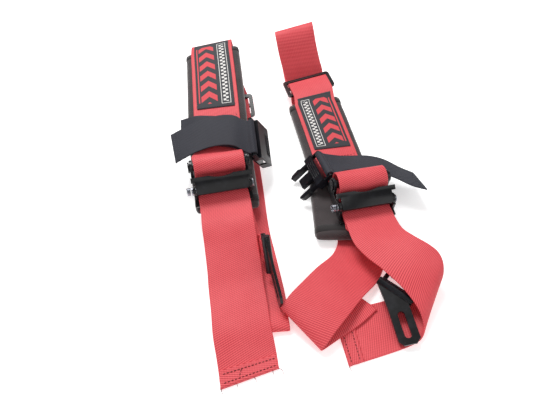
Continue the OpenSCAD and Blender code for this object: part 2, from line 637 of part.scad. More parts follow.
module right_pad_cover() pad_cover(right_pad_path);
module right_pad_foam() pad_foam(right_pad_path);
module right_pad_ends() pad_ends(right_pad_path);
module right_label() label(right_rear_path, 28, 51);
module right_rear_strap() color(webbing_red) ribbon(right_rear_rows, webbing_t);
module right_tri_glide() at_pose(right_slide) tri_glide();
module right_sternum_strap() color(cloth_black) ribbon(right_sternum_rows, webbing_t);
module right_adjuster_frame() at_pose(right_adjuster) adjuster_frame();
module right_adjuster_bar() at_pose(right_adjuster) adjuster_bar();
module right_lever() at_pose(right_adjuster) lever();
module right_lever_pin() at_pose(right_adjuster) lever_pin();
module right_lever_spring() at_pose(right_adjuster) lever_spring();
module right_front_strap() color(webbing_red) ribbon(right_front_rows, webbing_t);
module right_link_plate() at_pose(right_link) link_plate();
module right_link_cover() at_pose(right_link) link_cover();
module right_plug_body() at_pose(right_plug_pose) plug_body();
module right_prong_upper() at_pose(right_plug_pose) prong(1);
module right_prong_lower() at_pose(right_plug_pose) prong(-1);

left_pad_cover();
left_pad_foam();
left_pad_ends();
left_label();
left_rear_strap();
left_tri_glide();
left_sternum_strap();
left_adjuster_frame();
left_adjuster_bar();
left_lever();
left_lever_pin();
left_lever_spring();
left_front_strap();
left_link_plate();
left_link_cover();
left_socket();
right_pad_cover();
right_pad_foam();
right_pad_ends();
right_label();
right_rear_strap();
right_tri_glide();
right_sternum_strap();
right_adjuster_frame();
right_adjuster_bar();
right_lever();
right_lever_pin();
right_lever_spring();
right_front_strap();
right_link_plate();
right_link_cover();
right_plug_body();
right_prong_upper();
right_prong_lower();
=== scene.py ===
"""Racing harness, shoulder part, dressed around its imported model.

Two padded webbing straps lie on a pale table with their adjusters, slides, end links and chest buckle.
The webbing, pads, labels, springs and grip ribs are worked out here; the steel and plastic fittings are
copies of the model's. Lengths inside the classes are in millimetres, and turned to metres once.
"""

from __future__ import annotations

import json
import logging
import math
from dataclasses import dataclass, field
from enum import Enum
from typing import Any, Sequence

import bmesh
import bpy
import numpy as np
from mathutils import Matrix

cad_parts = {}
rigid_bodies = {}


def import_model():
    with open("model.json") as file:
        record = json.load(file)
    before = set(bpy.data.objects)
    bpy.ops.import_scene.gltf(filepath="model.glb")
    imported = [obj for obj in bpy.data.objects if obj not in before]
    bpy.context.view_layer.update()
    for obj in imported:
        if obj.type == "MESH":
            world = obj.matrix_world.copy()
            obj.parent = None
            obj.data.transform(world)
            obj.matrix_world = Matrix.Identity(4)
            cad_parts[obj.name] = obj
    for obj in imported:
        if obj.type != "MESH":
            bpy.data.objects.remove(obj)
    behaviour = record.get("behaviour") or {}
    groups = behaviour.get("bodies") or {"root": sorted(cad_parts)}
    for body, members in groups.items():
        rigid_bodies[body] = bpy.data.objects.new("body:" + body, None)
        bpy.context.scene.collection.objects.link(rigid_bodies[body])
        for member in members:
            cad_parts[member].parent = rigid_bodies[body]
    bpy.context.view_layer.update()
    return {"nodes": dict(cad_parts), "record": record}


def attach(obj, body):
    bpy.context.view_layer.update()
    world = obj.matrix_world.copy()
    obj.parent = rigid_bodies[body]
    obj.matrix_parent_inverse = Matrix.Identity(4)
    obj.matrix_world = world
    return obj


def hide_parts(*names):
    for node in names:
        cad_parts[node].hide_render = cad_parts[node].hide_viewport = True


LOG = logging.getLogger("harness")
MM = 0.001
TAU = 2 * math.pi
LAYOUT_SHIFT = np.array([-22.0, 24.0, 0.0])
ROOT = "harness"

WEBBING_W = 50.0
WEBBING_T = 1.4
STERNUM_W = 38.0
FOLDED_W = 22.0
PAD_W = 64.0
PAD_T = 13.0
LABEL_W = 42.0
LABEL_T = 0.5
FLAT_Z = WEBBING_T / 2
GAP = 0.3
TURN_GAP = 0.35
FINE_STEP = 1.5
PAD_STEP = 2.0

Tree = bpy.types.NodeTree
Socket = bpy.types.NodeSocket
Material = bpy.types.Material
Piece = bpy.types.Object


class Side(Enum):
    """Which half of the harness a piece belongs to."""

    LEFT = "left"
    RIGHT = "right"


# ------------------------------------------------------------------------------------ finishes
def linear(hex_colour: str) -> tuple[float, float, float, float]:
    """Turns an sRGB hex colour to linear red, green, blue and an alpha of 1."""
    digits = hex_colour.lstrip("#")
    parts = [int(digits[i : i + 2], 16) / 255 for i in (0, 2, 4)]
    curve = [p / 12.92 if p <= 0.04045 else ((p + 0.055) / 1.055) ** 2.4 for p in parts]
    return (curve[0], curve[1], curve[2], 1.0)


def feed(tree: Tree, node: bpy.types.Node, inputs: dict[str, Any]) -> None:
    """Gives a node its inputs.

    Args:
        tree: the node's tree.
        node: the node to feed.
        inputs: a value, or another node's socket to link, by the input's name with underscores
            for spaces, or by i and its number.
    """
    for key, value in inputs.items():
        numbered = key[0] == "i" and key[1:].isdigit()
        target = node.inputs[int(key[1:])] if numbered else node.inputs[key.replace("_", " ")]
        if isinstance(value, Socket):
            tree.links.new(value, target)
        else:
            target.default_value = value


def add(tree: Tree, kind: str, settings: dict[str, Any] | None = None, **inputs: Any) -> bpy.types.Node:
    """Adds a node.

    Args:
        tree: the tree that it joins.
        kind: the node's type name without its ShaderNode prefix.
        settings: attributes of the node itself.
        inputs: its inputs, as for feed.

    Returns:
        The new node.
    """
    node = tree.nodes.new("ShaderNode" + kind)
    for key, value in (settings or {}).items():
        setattr(node, key, value)
    feed(tree, node, inputs)
    return node


def maths(tree: Tree, operation: str, *values: Any) -> Socket:
    """Adds one sum on numbers or sockets, such as MULTIPLY, and gives its result."""
    return add(tree, "Math", {"operation": operation}, **{f"i{k}": v for k, v in enumerate(values)}).outputs[0]


class Recipe:
    """A material in the making: its Principled shader and short ways to add nodes in front of it."""

    def __init__(self, name: str) -> None:
        """Starts the material."""
        self.material = bpy.data.materials.new(name)
        self.material.use_nodes = True
        self.tree = self.material.node_tree

    def sum(self, operation: str, *values: Any) -> Socket:
        """Adds one sum on numbers or sockets."""
        return maths(self.tree, operation, *values)

    def times(self, first: Any, second: Any) -> Socket:
        """Multiplies two values."""
        return self.sum("MULTIPLY", first, second)

    def plus(self, first: Any, second: Any) -> Socket:
        """Adds two values."""
        return self.sum("ADD", first, second)

    def minus(self, first: Any, second: Any) -> Socket:
        """Takes the second value from the first."""
        return self.sum("SUBTRACT", first, second)

    def wave(self, distance: Socket, length: float) -> Socket:
        """Gives the sine of a distance, one turn for each length."""
        return self.sum("SINE", self.times(distance, TAU / length))

    def noise(self, scale: float, detail: float = 2.0, roughness: float = 0.5) -> Socket:
        """Gives a noise in the piece's own space, its scale in cells to the metre."""
        place = add(self.tree, "TexCoord").outputs["Object"]
        made = add(self.tree, "TexNoise", Vector=place, Scale=scale, Detail=detail, Roughness=roughness)
        return made.outputs[0]

    def ramp(self, factor: Socket, *stops: tuple[float, str]) -> Socket:
        """Looks a value up between places from 0 to 1 that each have a hex colour."""
        node = add(self.tree, "ValToRGB", Fac=factor)
        elements = node.color_ramp.elements
        while len(elements) < len(stops):
            elements.new(0.5)
        for element, (place, colour) in zip(elements, stops):
            element.position = place
            element.color = linear(colour)
        return node.outputs[0]

    def blend(self, factor: Any, first: Any, second: Any) -> Socket:
        """Mixes two colours, hex or socket, by the second one's share."""
        one, two = (linear(c) if isinstance(c, str) else c for c in (first, second))
        return add(self.tree, "Mix", {"data_type": "RGBA"}, i0=factor, i6=one, i7=two).outputs[2]

    def bump(self, height: Socket, strength: float, depth_mm: float) -> Socket:
        """Turns a height to a normal."""
        return add(self.tree, "Bump", Height=height, Strength=strength, Distance=depth_mm * MM).outputs[0]

    def cloth_map(self) -> tuple[Socket, Socket]:
        """Reads a cloth piece's own map: the millimetres across and along it."""
        uv = add(self.tree, "UVMap", {"uv_map": "cloth"})
        parts = add(self.tree, "SeparateXYZ", Vector=uv.outputs[0])
        return self.times(parts.outputs[0], 1 / MM), self.times(parts.outputs[1], 1 / MM)

    def finish(self, **inputs: Any) -> Material:
        """Feeds the shader and gives the material."""
        feed(self.tree, self.tree.nodes["Principled BSDF"], inputs)
        return self.material


@dataclass(frozen=True)
class WovenWebbing:
    """Polyester or nylon webbing from a narrow loom: a slanting twill crossed by faint lengthwise ribs."""

    name: str
    lit: str
    mid: str
    # the colour of the painted shade in the weave's hollows, also used for the fibres' random mottle
    shade_and_mottle: str
    rib_mm: float = 2.1
    pick_mm: float = 1.8
    lean_mm: float = 5.5
    roughness: float = 0.6
    sheen: float = 0.2

    def make(self) -> Material:
        """Builds the webbing's material from rib, pick and wear patterns, the weave's hollows coloured darker
        as painted shade and its raised threads lighter as painted highlight.
        """
        r = Recipe(self.name)
        across, along = r.cloth_map()
        pick = r.sum("SINE", r.plus(r.times(along, TAU / self.pick_mm), r.times(across, TAU / self.lean_mm)))
        height = r.plus(r.plus(r.times(r.wave(across, self.rib_mm), 0.07), r.times(pick, 0.34)), 0.5)
        fibre, patch = r.noise(900.0, 3.0), r.noise(26.0, 4.0, 0.6)
        # painted shade and highlight: the weave's relief height picks the colour, dark in its hollows and lit
        # on its raised threads
        colour = r.ramp(height, (0.05, self.shade_and_mottle), (0.5, self.mid), (0.95, self.lit))
        colour = r.blend(r.times(r.minus(patch, 0.35), 0.75), colour, self.lit)
        colour = r.blend(r.times(r.minus(fibre, 0.45), 0.5), colour, self.shade_and_mottle)
        relief = r.plus(height, r.times(fibre, 0.25))
        return r.finish(
            Base_Color=colour, Normal=r.bump(relief, 0.55, 0.22), Roughness=self.roughness,
            Sheen_Weight=self.sheen, Sheen_Roughness=0.45, Sheen_Tint=linear(self.lit),
        )


@dataclass(frozen=True)
class PlainCloth:
    """Plain-woven nylon pack cloth: a small square weave with faint shine."""

    name: str
    lit: str
    # the colour of the painted shade between the threads, also used for the random mottle
    shade_and_mottle: str
    thread_mm: float = 1.3
    roughness: float = 0.78
    sheen: float = 0.35

    def make(self) -> Material:
        """Builds the cloth's material from two crossing threads, coloured darker between them as painted shade,
        and a slow change of tone.
        """
        r = Recipe(self.name)
        across, along = r.cloth_map()
        crossing = r.times(r.wave(across, self.thread_mm), r.wave(along, self.thread_mm))
        weave = r.plus(r.times(crossing, 0.5), 0.5)
        # painted shade: where the threads dip under each other the tone falls towards the dark colour; the slow
        # noise is random mottle
        tone = r.plus(r.times(weave, 0.45), r.times(r.noise(34.0, 5.0, 0.62), 0.7))
        relief = r.plus(weave, r.times(r.noise(1100.0), 0.3))
        return r.finish(
            Base_Color=r.ramp(tone, (0.2, self.shade_and_mottle), (0.95, self.lit)), Normal=r.bump(relief, 0.5, 0.2),
            Roughness=self.roughness, Sheen_Weight=self.sheen, Sheen_Roughness=0.5,
        )


@dataclass(frozen=True)
class WovenLabel:
    """Damask label: dark ground, a chequered strip inside a white line, and red chevrons beside it."""

    name: str
    length: float
    hand: float = 1.0
    strip_x: float = -12.0
    strip_half: float = 4.6
    line: float = 0.7
    square: float = 2.9
    bars_x: float = 6.5
    bars_half: float = 9.0
    ground: str = "#303137"
    thread: str = "#e9e6e2"
    accent: str = "#dd434c"

    def make(self) -> Material:
        """Builds the label's design from boxes, squares and slanting bars."""
        r = Recipe(self.name)
        across, y = r.cloth_map()
        x = r.times(across, self.hand)
        middle = self.length / 2
        long = middle - 5.5

        def box(at: float, half_wide: float, half_long: float) -> Socket:
            """Gives 1 inside a box round the label's middle and 0 outside it."""
            pairs = ((x, at, half_wide), (y, middle, half_long))
            return r.times(*(r.sum("LESS_THAN", r.sum("ABSOLUTE", r.minus(v, m)), h) for v, m, h in pairs))

        outer = box(self.strip_x, self.strip_half + self.line, long + self.line)
        outline = r.minus(outer, box(self.strip_x, self.strip_half, long))
        column = r.sum("FLOOR", r.sum("DIVIDE", r.minus(x, self.strip_x), self.square))
        row = r.sum("FLOOR", r.sum("DIVIDE", y, self.square))
        odd = r.sum("PINGPONG", r.plus(column, row), 1.0)
        white = r.sum("MAXIMUM", outline, r.times(box(self.strip_x, self.square, long - 2.0), odd))
        fold = r.sum("ABSOLUTE", r.minus(x, self.bars_x))
        run = r.sum("DIVIDE", r.plus(y, r.times(fold, 0.9)), 17.0)
        bars = r.sum("LESS_THAN", r.sum("FRACT", run), 0.52)
        bars = r.times(bars, box(self.bars_x, self.bars_half, long - 1.0))
        red = r.sum("MAXIMUM", bars, box(self.bars_x + 11.2, self.line, long - 3.0))
        fibre = r.noise(1300.0)
        colour = r.blend(r.times(r.noise(60.0, 3.0), 0.5), self.ground, "#2a2a30")
        colour = r.blend(white, r.blend(red, colour, self.accent), self.thread)
        colour = r.blend(r.times(r.minus(fibre, 0.4), 0.5), colour, "#1d1d22")
        raised = r.plus(r.times(r.sum("MAXIMUM", red, white), 1.2), r.times(r.wave(y, 0.8), 0.25))
        relief = r.plus(raised, fibre)
        return r.finish(Base_Color=colour, Normal=r.bump(relief, 0.5, 0.15), Roughness=0.7, Sheen_Weight=0.2)


@dataclass(frozen=True)
class CoatedSteel:
    """Pressed steel with a black powder coat: a fine orange peel that breaks up each highlight."""

    name: str
    colour: str = "#0b0b0f"
    worn: str = "#1c1d24"
    roughness: float = 0.34
    peel_mm: float = 0.9

    def make(self) -> Material:
        """Builds the coat from its peel, its scuffs and its tone."""
        r = Recipe(self.name)
        scuff = r.noise(90.0, 6.0, 0.7)
        mark = r.ramp(scuff, (0.52, "#000000"), (0.72, "#ffffff"))
        return r.finish(
            Base_Color=r.blend(mark, self.colour, self.worn), IOR=1.5, Coat_Weight=0.35, Coat_Roughness=0.22,
            Roughness=r.plus(r.times(scuff, 0.22), self.roughness - 0.1),
            Normal=r.bump(r.noise(1 / (self.peel_mm * MM)), 0.18, 0.1),
        )


@dataclass(frozen=True)
class MouldedAcetal:
    """Injection-moulded acetal, black: smooth with a spark-eroded grain that dulls the shine."""

    name: str
    colour: str = "#0c0c11"
    bloom: str = "#1a1b23"
    roughness: float = 0.3
    grain_mm: float = 0.6

    def make(self) -> Material:
        """Builds the plastic from its grain and a slow change of gloss."""
        r = Recipe(self.name)
        slow = r.noise(70.0, 4.0)
        return r.finish(
            Base_Color=r.ramp(slow, (0.3, self.colour), (0.8, self.bloom)), IOR=1.48,
            Roughness=r.plus(r.times(slow, 0.18), self.roughness - 0.06),
            Normal=r.bump(r.noise(1 / (self.grain_mm * MM), 3.0), 0.12, 0.08),
        )


@dataclass(frozen=True)
class DrawnSteel:
    """Drawn and zinc-plated steel: bright, with fine marks over the wire or pin."""

    name: str
    colour: str = "#b9bcc4"
    dull: str = "#8f929b"
    roughness: float = 0.28

    def make(self) -> Material:
        """Builds the plated steel from fine marks in its tone and gloss."""
        r = Recipe(self.name)
        mark = r.noise(700.0, 4.0)
        rough = r.plus(r.times(mark, 0.2), self.roughness - 0.1)
        colour = r.ramp(mark, (0.3, self.dull), (0.7, self.colour))
        return r.finish(Base_Color=colour, Roughness=rough, Metallic=1.0)


@dataclass(frozen=True)
class SewingThread:
    """Bonded polyester thread: two plies twisted together, slightly waxed."""

    name: str
    colour: str
    shade: str

    def make(self) -> Material:
        """Builds the thread from its twist."""
        r = Recipe(self.name)
        twist = r.noise(2400.0, 1.0)
        return r.finish(
            Base_Color=r.ramp(twist, (0.35, self.shade), (0.65, self.colour)), Normal=r.bump(twist, 0.4, 0.1),
            Roughness=0.55, Sheen_Weight=0.2,
        )


@dataclass(frozen=True)
class MattPaint:
    """White table paint, matt, with a faint light of its own so that it stays white under soft lamps."""

    name: str = "matt_white_paint"

    def make(self) -> Material:
        """Builds the paint from its roller grain."""
        r = Recipe(self.name)
        return r.finish(
            Base_Color=linear("#fbfbfb"), Normal=r.bump(r.noise(700.0), 0.04, 0.2), Roughness=0.75,
            Emission_Color=linear("#ffffff"), Emission_Strength=0.42,
        )


@dataclass(frozen=True)
class Finishes:
    """Every shared finish of the harness, made once."""

    # each webbing and cloth finish below gives a lit colour for painted highlight and a darker one for painted
    # shade in its weave
    red: Material = field(
        default_factory=WovenWebbing("polyester_webbing_red", "#f2686e", "#e2444d", "#b0242e").make
    )
    black_webbing: Material = field(
        default_factory=WovenWebbing(
            "nylon_webbing_black", "#3d3e49", "#2d2e37", "#191a21",
            rib_mm=1.6, pick_mm=1.2, lean_mm=4.0, roughness=0.7, sheen=0.25,
        ).make
    )
    pad_cloth: Material = field(default_factory=PlainCloth("nylon_pack_cloth_black", "#4a3f40", "#1c1718").make)
    binding: Material = field(
        default_factory=PlainCloth("grosgrain_tape_black", "#2a2425", "#110e0f", thread_mm=0.9).make
    )
    steel: Material = field(default_factory=CoatedSteel("powder_coated_steel").make)
    plated: Material = field(default_factory=DrawnSteel("zinc_plated_steel").make)
    plastic: Material = field(default_factory=MouldedAcetal("moulded_acetal_black").make)
    red_thread: Material = field(
        default_factory=SewingThread("polyester_thread_red", "#8d1620", "#560c13").make
    )
    black_thread: Material = field(
        default_factory=SewingThread("polyester_thread_black", "#3c3c44", "#1b1b20").make
    )


# ------------------------------------------------------------------------------------ geometry
def unit(v: np.ndarray) -> np.ndarray:
    """Scales vectors to length 1 along their last axis."""
    return v / np.linalg.norm(v, axis=-1, keepdims=True)


def heading(yaw: float, roll: float) -> list[float]:
    """Gives the direction at a yaw from +X and a roll above the table, both in degrees."""
    y, r = math.radians(yaw), math.radians(roll)
    return [math.cos(r) * math.cos(y), math.cos(r) * math.sin(y), math.sin(r)]


@dataclass(frozen=True)
class Pose:
    """A fitting's own frame: origin, across and along; its third axis is across x along."""

    origin: Sequence[float]
    across: Sequence[float]
    along: Sequence[float]

    def axes(self) -> np.ndarray:
        """Works out the three unit axes, with along squared up to across."""
        a = unit(np.array(self.across, float))
        b = np.array(self.along, float)
        b = unit(b - (b @ a) * a)
        return np.array([a, b, np.cross(a, b)])

    def world(self, points: np.ndarray) -> np.ndarray:
        """Turns local points to layout points: origin plus each axis times its share."""
        return np.array(self.origin, float) + np.asarray(points, float) @ self.axes()

    def rows(self, pairs: Sequence[Sequence[float]], width: float) -> np.ndarray:
        """Makes route rows, of point, width direction and width, from [y, z] points of the frame."""
        yz = np.array(pairs, float)
        points = self.world(np.column_stack([np.zeros(len(yz)), yz]))
        return np.column_stack([points, np.tile(self.axes()[0], (len(yz), 1)), np.full(len(yz), width)])


def rows_at(rows: Sequence[Sequence[float]]) -> np.ndarray:
    """Makes route rows from [x, y, z, yaw, roll, width] rows."""
    return np.array([[*r[:3], *heading(r[3], r[4]), r[5]] for r in rows], float)


def smooth(rows: np.ndarray, step: float) -> np.ndarray:
    """Runs a smooth curve through the rows.

    Between two rows it is a cubic whose slope at each row is the way from the row before to the
    row after, divided by the two spans' length. The middle line stays on or above the table.

    Args:
        rows: point, width direction and width.
        step: the longest step between samples.

    Returns:
        The samples, as rows of the same kind.
    """
    spans = np.linalg.norm(np.diff(rows[:, :3], axis=0), axis=1)
    before = np.vstack([rows[:1], rows[:-1]])
    after = np.vstack([rows[1:], rows[-1:]])
    reach = np.concatenate([[0], spans]) + np.concatenate([spans, [0]])
    slope = (after - before) / reach[:, None]
    count = np.maximum(2, np.ceil(spans / step)).astype(int)
    index = np.repeat(np.arange(len(spans)), count)
    t = (np.arange(len(index)) - np.repeat(np.cumsum(count) - count, count)) / np.repeat(count, count)
    t, d = t[:, None], spans[index][:, None]
    out = (
        (2 * t**3 - 3 * t**2 + 1) * rows[index]
        + (t**3 - 2 * t**2 + t) * slope[index] * d
        + (3 * t**2 - 2 * t**3) * rows[index + 1]
        + (t**3 - t**2) * slope[index + 1] * d
    )
    out = np.vstack([out, rows[-1:]])
    out[:, 2] = np.maximum(out[:, 2], FLAT_Z)
    return out


def coarse_curve(rows: np.ndarray) -> np.ndarray:
    """Runs the curve with two to five steps a span, the steps of the solid model."""
    spans = np.linalg.norm(np.diff(rows[:, :3], axis=0), axis=1)
    count = np.clip(np.ceil(spans / 5), 2, 5).astype(int)
    fine = smooth(rows, FINE_STEP)
    fine_count = np.maximum(2, np.ceil(spans / FINE_STEP)).astype(int)
    starts = np.cumsum(fine_count) - fine_count
    places = [start + n * np.arange(c) / c for start, n, c in zip(starts, fine_count, count)]
    places = np.concatenate(places + [[fine_count.sum()]])
    return np.stack([np.interp(places, np.arange(len(fine)), fine[:, k]) for k in range(7)], axis=-1)


@dataclass
class Track:
    """A smooth route with a frame at each sample, and the distance along it."""

    samples: np.ndarray
    middle: np.ndarray = field(init=False)
    across: np.ndarray = field(init=False)
    normal: np.ndarray = field(init=False)
    width: np.ndarray = field(init=False)
    distance: np.ndarray = field(init=False)

    def __post_init__(self) -> None:
        """Works out tangents from the neighbours, and normals square to width and tangent."""
        p = self.samples
        self.middle = p[:, :3]
        self.across = unit(p[:, 3:6])
        steps = [p[1:2, :3] - p[:1, :3], p[2:, :3] - p[:-2, :3], p[-1:, :3] - p[-2:-1, :3]]
        self.normal = unit(np.cross(self.across, unit(np.vstack(steps))))
        self.width = p[:, 6]
        self.distance = np.concatenate([[0], np.cumsum(np.linalg.norm(np.diff(self.middle, axis=0), axis=1))])

    def length(self) -> float:
        """Gives the route's whole length."""
        return float(self.distance[-1])

    def near(self, point: Sequence[float]) -> float:
        """Finds the distance along the route of the sample nearest to a layout point."""
        return float(self.distance[np.argmin(np.linalg.norm(self.middle - np.array(point, float), axis=1))])

    def at(self, s: np.ndarray, u: np.ndarray, lift: np.ndarray) -> np.ndarray:
        """Gives the points at distances s along, u across and lift off the middle line."""

        def pick(values: np.ndarray) -> np.ndarray:
            """Looks a frame's vectors up at the distances."""
            return np.stack([np.interp(s, self.distance, values[:, k]) for k in range(3)], axis=-1)

        return pick(self.middle) + pick(self.across) * u[..., None] + pick(self.normal) * lift[..., None]

    def part(self, start: float, end: float) -> Track:
        """Cuts out the stretch between two distances."""
        return Track(self.samples[(self.distance >= start) & (self.distance <= end)])

    def face_up(self, s: float) -> Track:
        """Gives the route with its normal up at a distance along it, turned over if need be."""
        if self.normal[int(np.argmin(np.abs(self.distance - s))), 2] > 0:
            return self
        turned = self.samples.copy()
        turned[:, 3:6] *= -1
        return Track(turned)

    def lifted(self, lift: float, width: float) -> Track:
        """Moves the route off along its normal and sets its width."""
        moved = self.samples.copy()
        moved[:, :3] += self.normal * lift
        moved[:, 6] = width
        return Track(moved)


def link(thing: Piece) -> Piece:
    """Puts an object in the scene."""
    bpy.context.scene.collection.objects.link(thing)
    return thing


def make_object(
    name: str, points: np.ndarray, faces: Sequence[Sequence[int]], material: Material,
    uv: np.ndarray | None = None, flat_ends: int = 0,
) -> Piece:
    """Makes a piece from layout points.

    Args:
        name: the piece's name.
        points: any grid of layout points.
        faces: each face's point numbers.
        material: its finish.
        uv: a pair of millimetres for each face corner, or none.
        flat_ends: how many of the last faces are shaded flat.

    Returns:
        The linked object.
    """
    mesh = bpy.data.meshes.new(name)
    mesh.from_pydata(((points.reshape(-1, 3) + LAYOUT_SHIFT) * MM).tolist(), [], [list(f) for f in faces])
    if uv is not None:
        mesh.uv_layers.new(name="cloth").data.foreach_set("uv", (uv * MM).astype(np.float32).ravel())
    mesh.polygons.foreach_set("use_smooth", np.arange(len(faces)) < len(faces) - flat_ends)
    mesh.materials.append(material)
    mesh.update()
    return link(bpy.data.objects.new(name, mesh))


def turn_outward(mesh: bpy.types.Mesh) -> None:
    """Turns every face round if the volume that they enclose comes out negative."""
    mesh.calc_loop_triangles()
    corners = np.empty(len(mesh.loop_triangles) * 3, np.int32)
    mesh.loop_triangles.foreach_get("vertices", corners)
    places = np.empty(len(mesh.vertices) * 3)
    mesh.vertices.foreach_get("co", places)
    a, b, c = places.reshape(-1, 3)[corners].reshape(-1, 3, 3).transpose(1, 0, 2)
    if np.einsum("ij,ij->", a, np.cross(b, c)) < 0:
        mesh.flip_normals()


def settle(piece: Piece, slot: str, *replaced: str, body: str = ROOT) -> Piece:
    """Ties a piece to its body and to the model's nodes that it stands for, which it hides."""
    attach(piece, body)
    turn_outward(piece.data)
    if replaced:
        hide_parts(*replaced)
    LOG.info("%s: %d faces on %s", piece.name, len(piece.data.polygons), body)
    return piece


def around(count: int) -> np.ndarray:
    """Gives the angles of evenly spaced points round a circle."""
    return TAU * np.arange(count) / count


def tube_faces(sides: int, rings: int) -> np.ndarray:
    """Gives the quads of a closed outline carried along rings."""
    i, k = np.meshgrid(np.arange(rings - 1), np.arange(sides), indexing="ij")
    n = (k + 1) % sides
    corners = [i * sides + k, i * sides + n, (i + 1) * sides + n, (i + 1) * sides + k]
    return np.stack(corners, axis=-1).reshape(-1, 4)


def closed_tube(sides: int, rings: int) -> list[list[int]]:
    """Gives a tube's quads and then its two end faces."""
    ends = [list(range(sides))[::-1], list(range((rings - 1) * sides, rings * sides))]
    return tube_faces(sides, rings).tolist() + ends


def copies(faces: Sequence[Sequence[int]], points: int, count: int) -> list[list[int]]:
    """Repeats one block's faces for several blocks of the same number of points."""
    return [[v + points * block for v in face] for block in range(count) for face in faces]


def strap_outline(thickness: float, columns: int) -> np.ndarray:
    """Works out a strap's closed outline: flat faces between half-round edges.

    Args:
        thickness: the strap's thickness.
        columns: the number of columns on each face.

    Returns:
        Rows of share of the width, height and the edge's own inset in millimetres.
    """
    inner = np.linspace(-0.5, 0.5, columns)
    half = thickness / 2
    turn = np.radians([-54, -18, 18, 54])
    inset = -np.sign(inner) * half * (np.abs(inner) > 0.499)
    bottom = np.column_stack([inner, np.full(columns, -half), inset])
    right = np.column_stack([np.full(4, 0.5), half * np.sin(turn), half * np.cos(turn) - half])
    left = np.column_stack([np.full(4, -0.5), -half * np.sin(turn), half - half * np.cos(turn)])
    top = np.column_stack([inner[::-1], np.full(columns, half), inset[::-1]])
    return np.vstack([bottom, right, top, left])


def ripple(s: np.ndarray, u: np.ndarray, seed: int, size: float) -> np.ndarray:
    """Gives a slow unevenness: a sum of six sine waves with seeded lengths and phases."""
    rng = np.random.default_rng(seed)
    total = np.zeros(np.broadcast(s, u).shape)
    for _ in range(6):
        length, lean, phase = rng.uniform(14, 70), rng.uniform(-0.09, 0.09), rng.uniform(0, TAU)
        total = total + np.sin(TAU * s / length + lean * u * 2 + phase)
    return total * size / 6


@dataclass
class Strap:
    """One length of webbing on its route, as a closed strip with rounded selvedges."""

    name: str
    track: Track
    thickness: float
    seed: int
    columns: int = 26
    waviness: float = 0.16
    selvedge: float = 0.1
    fray: float = 0.25
    fray_reach: float = 6.0

    def build(self, finish: Material) -> Piece:
        """Builds the strip: its outline carried along the route, its edges a little thicker."""
        outline = strap_outline(self.thickness, self.columns)
        rings, sides = len(self.track.middle), len(outline)
        s = np.repeat(self.track.distance[:, None], sides, axis=1)
        share, height, inset = (np.repeat(outline[None, :, k], rings, axis=0) for k in range(3))
        u = share * self.track.width[:, None] + inset
        ends = np.minimum(s, self.track.length() - s)
        frayed = self.fray * np.sin(s * 0.9 + self.seed) * np.exp(-ends / self.fray_reach)
        frayed = frayed * np.sign(share) * (np.abs(share) > 0.49)
        edge = np.clip((np.abs(share) - 0.45) / 0.05, 0, 1) * (np.abs(share) < 0.4999)
        lift = height + np.sign(height) * self.selvedge * edge + ripple(s, u, self.seed, self.waviness)
        on_table = self.track.middle[:, 2] < self.thickness
        lift = np.where(on_table[:, None] & (lift < height), height, lift)
        sides_uv = np.stack([u, s], axis=-1).reshape(-1, 2)[tube_faces(sides, rings).ravel()]
        near_uv = np.column_stack([u[0], s[0] + height[0]])[::-1]
        far_uv = np.column_stack([u[-1], s[-1] + height[-1]])
        points = self.track.at(s, u + frayed, lift)
        uv = np.vstack([sides_uv, near_uv, far_uv])
        return make_object(self.name, points, closed_tube(sides, rings), finish, uv, flat_ends=2)


@dataclass
class Stitching:
    """Rows of thread on a strap's face, each stitch a small arched capsule."""

    name: str
    track: Track
    lift: float
    pitch: float = 3.4
    stitch: float = 2.5
    thread_r: float = 0.3
    lines: list[tuple[float, float, float, float]] = field(default_factory=list)

    def line(self, s0: float, u0: float, s1: float, u1: float) -> None:
        """Adds one straight row of stitches from distance s0, across u0 to s1, u1."""
        self.lines.append((s0, u0, s1, u1))

    def build(self, finish: Material) -> Piece:
        """Builds every stitch: five rings of six sides that rise from the cloth and go back in."""
        starts, ends = [], []
        for s0, u0, s1, u1 in self.lines:
            total = math.hypot(s1 - s0, u1 - u0)
            n = max(1, int(total / self.pitch))
            way = np.array([s1 - s0, u1 - u0]) / total
            first = np.arange(n) * self.pitch + (self.pitch - self.stitch) / 2
            starts.append(np.array([s0, u0]) + np.outer(first, way))
            ends.append(starts[-1] + way * self.stitch)
        a, b = np.vstack(starts), np.vstack(ends)
        t = np.array([0.0, 0.18, 0.5, 0.82, 1.0])
        rise = np.array([-0.9, 0.35, 0.75, 0.35, -0.9]) * self.thread_r
        fat = np.array([0.35, 0.9, 1.0, 0.9, 0.35]) * self.thread_r
        turn = around(6)
        side = unit(np.stack([-(b - a)[:, 1], (b - a)[:, 0]], axis=-1))
        core = a[:, None, :] + (b - a)[:, None, :] * t[None, :, None]
        spread = fat[None, :, None, None] * np.cos(turn)[None, None, :, None]
        su = core[:, :, None, :] + side[:, None, None, :] * spread
        up = self.lift + rise[None, :, None] + fat[None, :, None] * np.sin(turn)[None, None, :]
        points = self.track.at(su[..., 0], su[..., 1], np.broadcast_to(up, su.shape[:-1]))
        caps = [[0, 1, 2, 3], [0, 3, 4, 5], [24, 27, 26, 25], [24, 29, 28, 27]]
        faces = copies(tube_faces(6, 5)[:, ::-1].tolist() + caps, 30, len(a))
        return make_object(self.name, points, faces, finish)


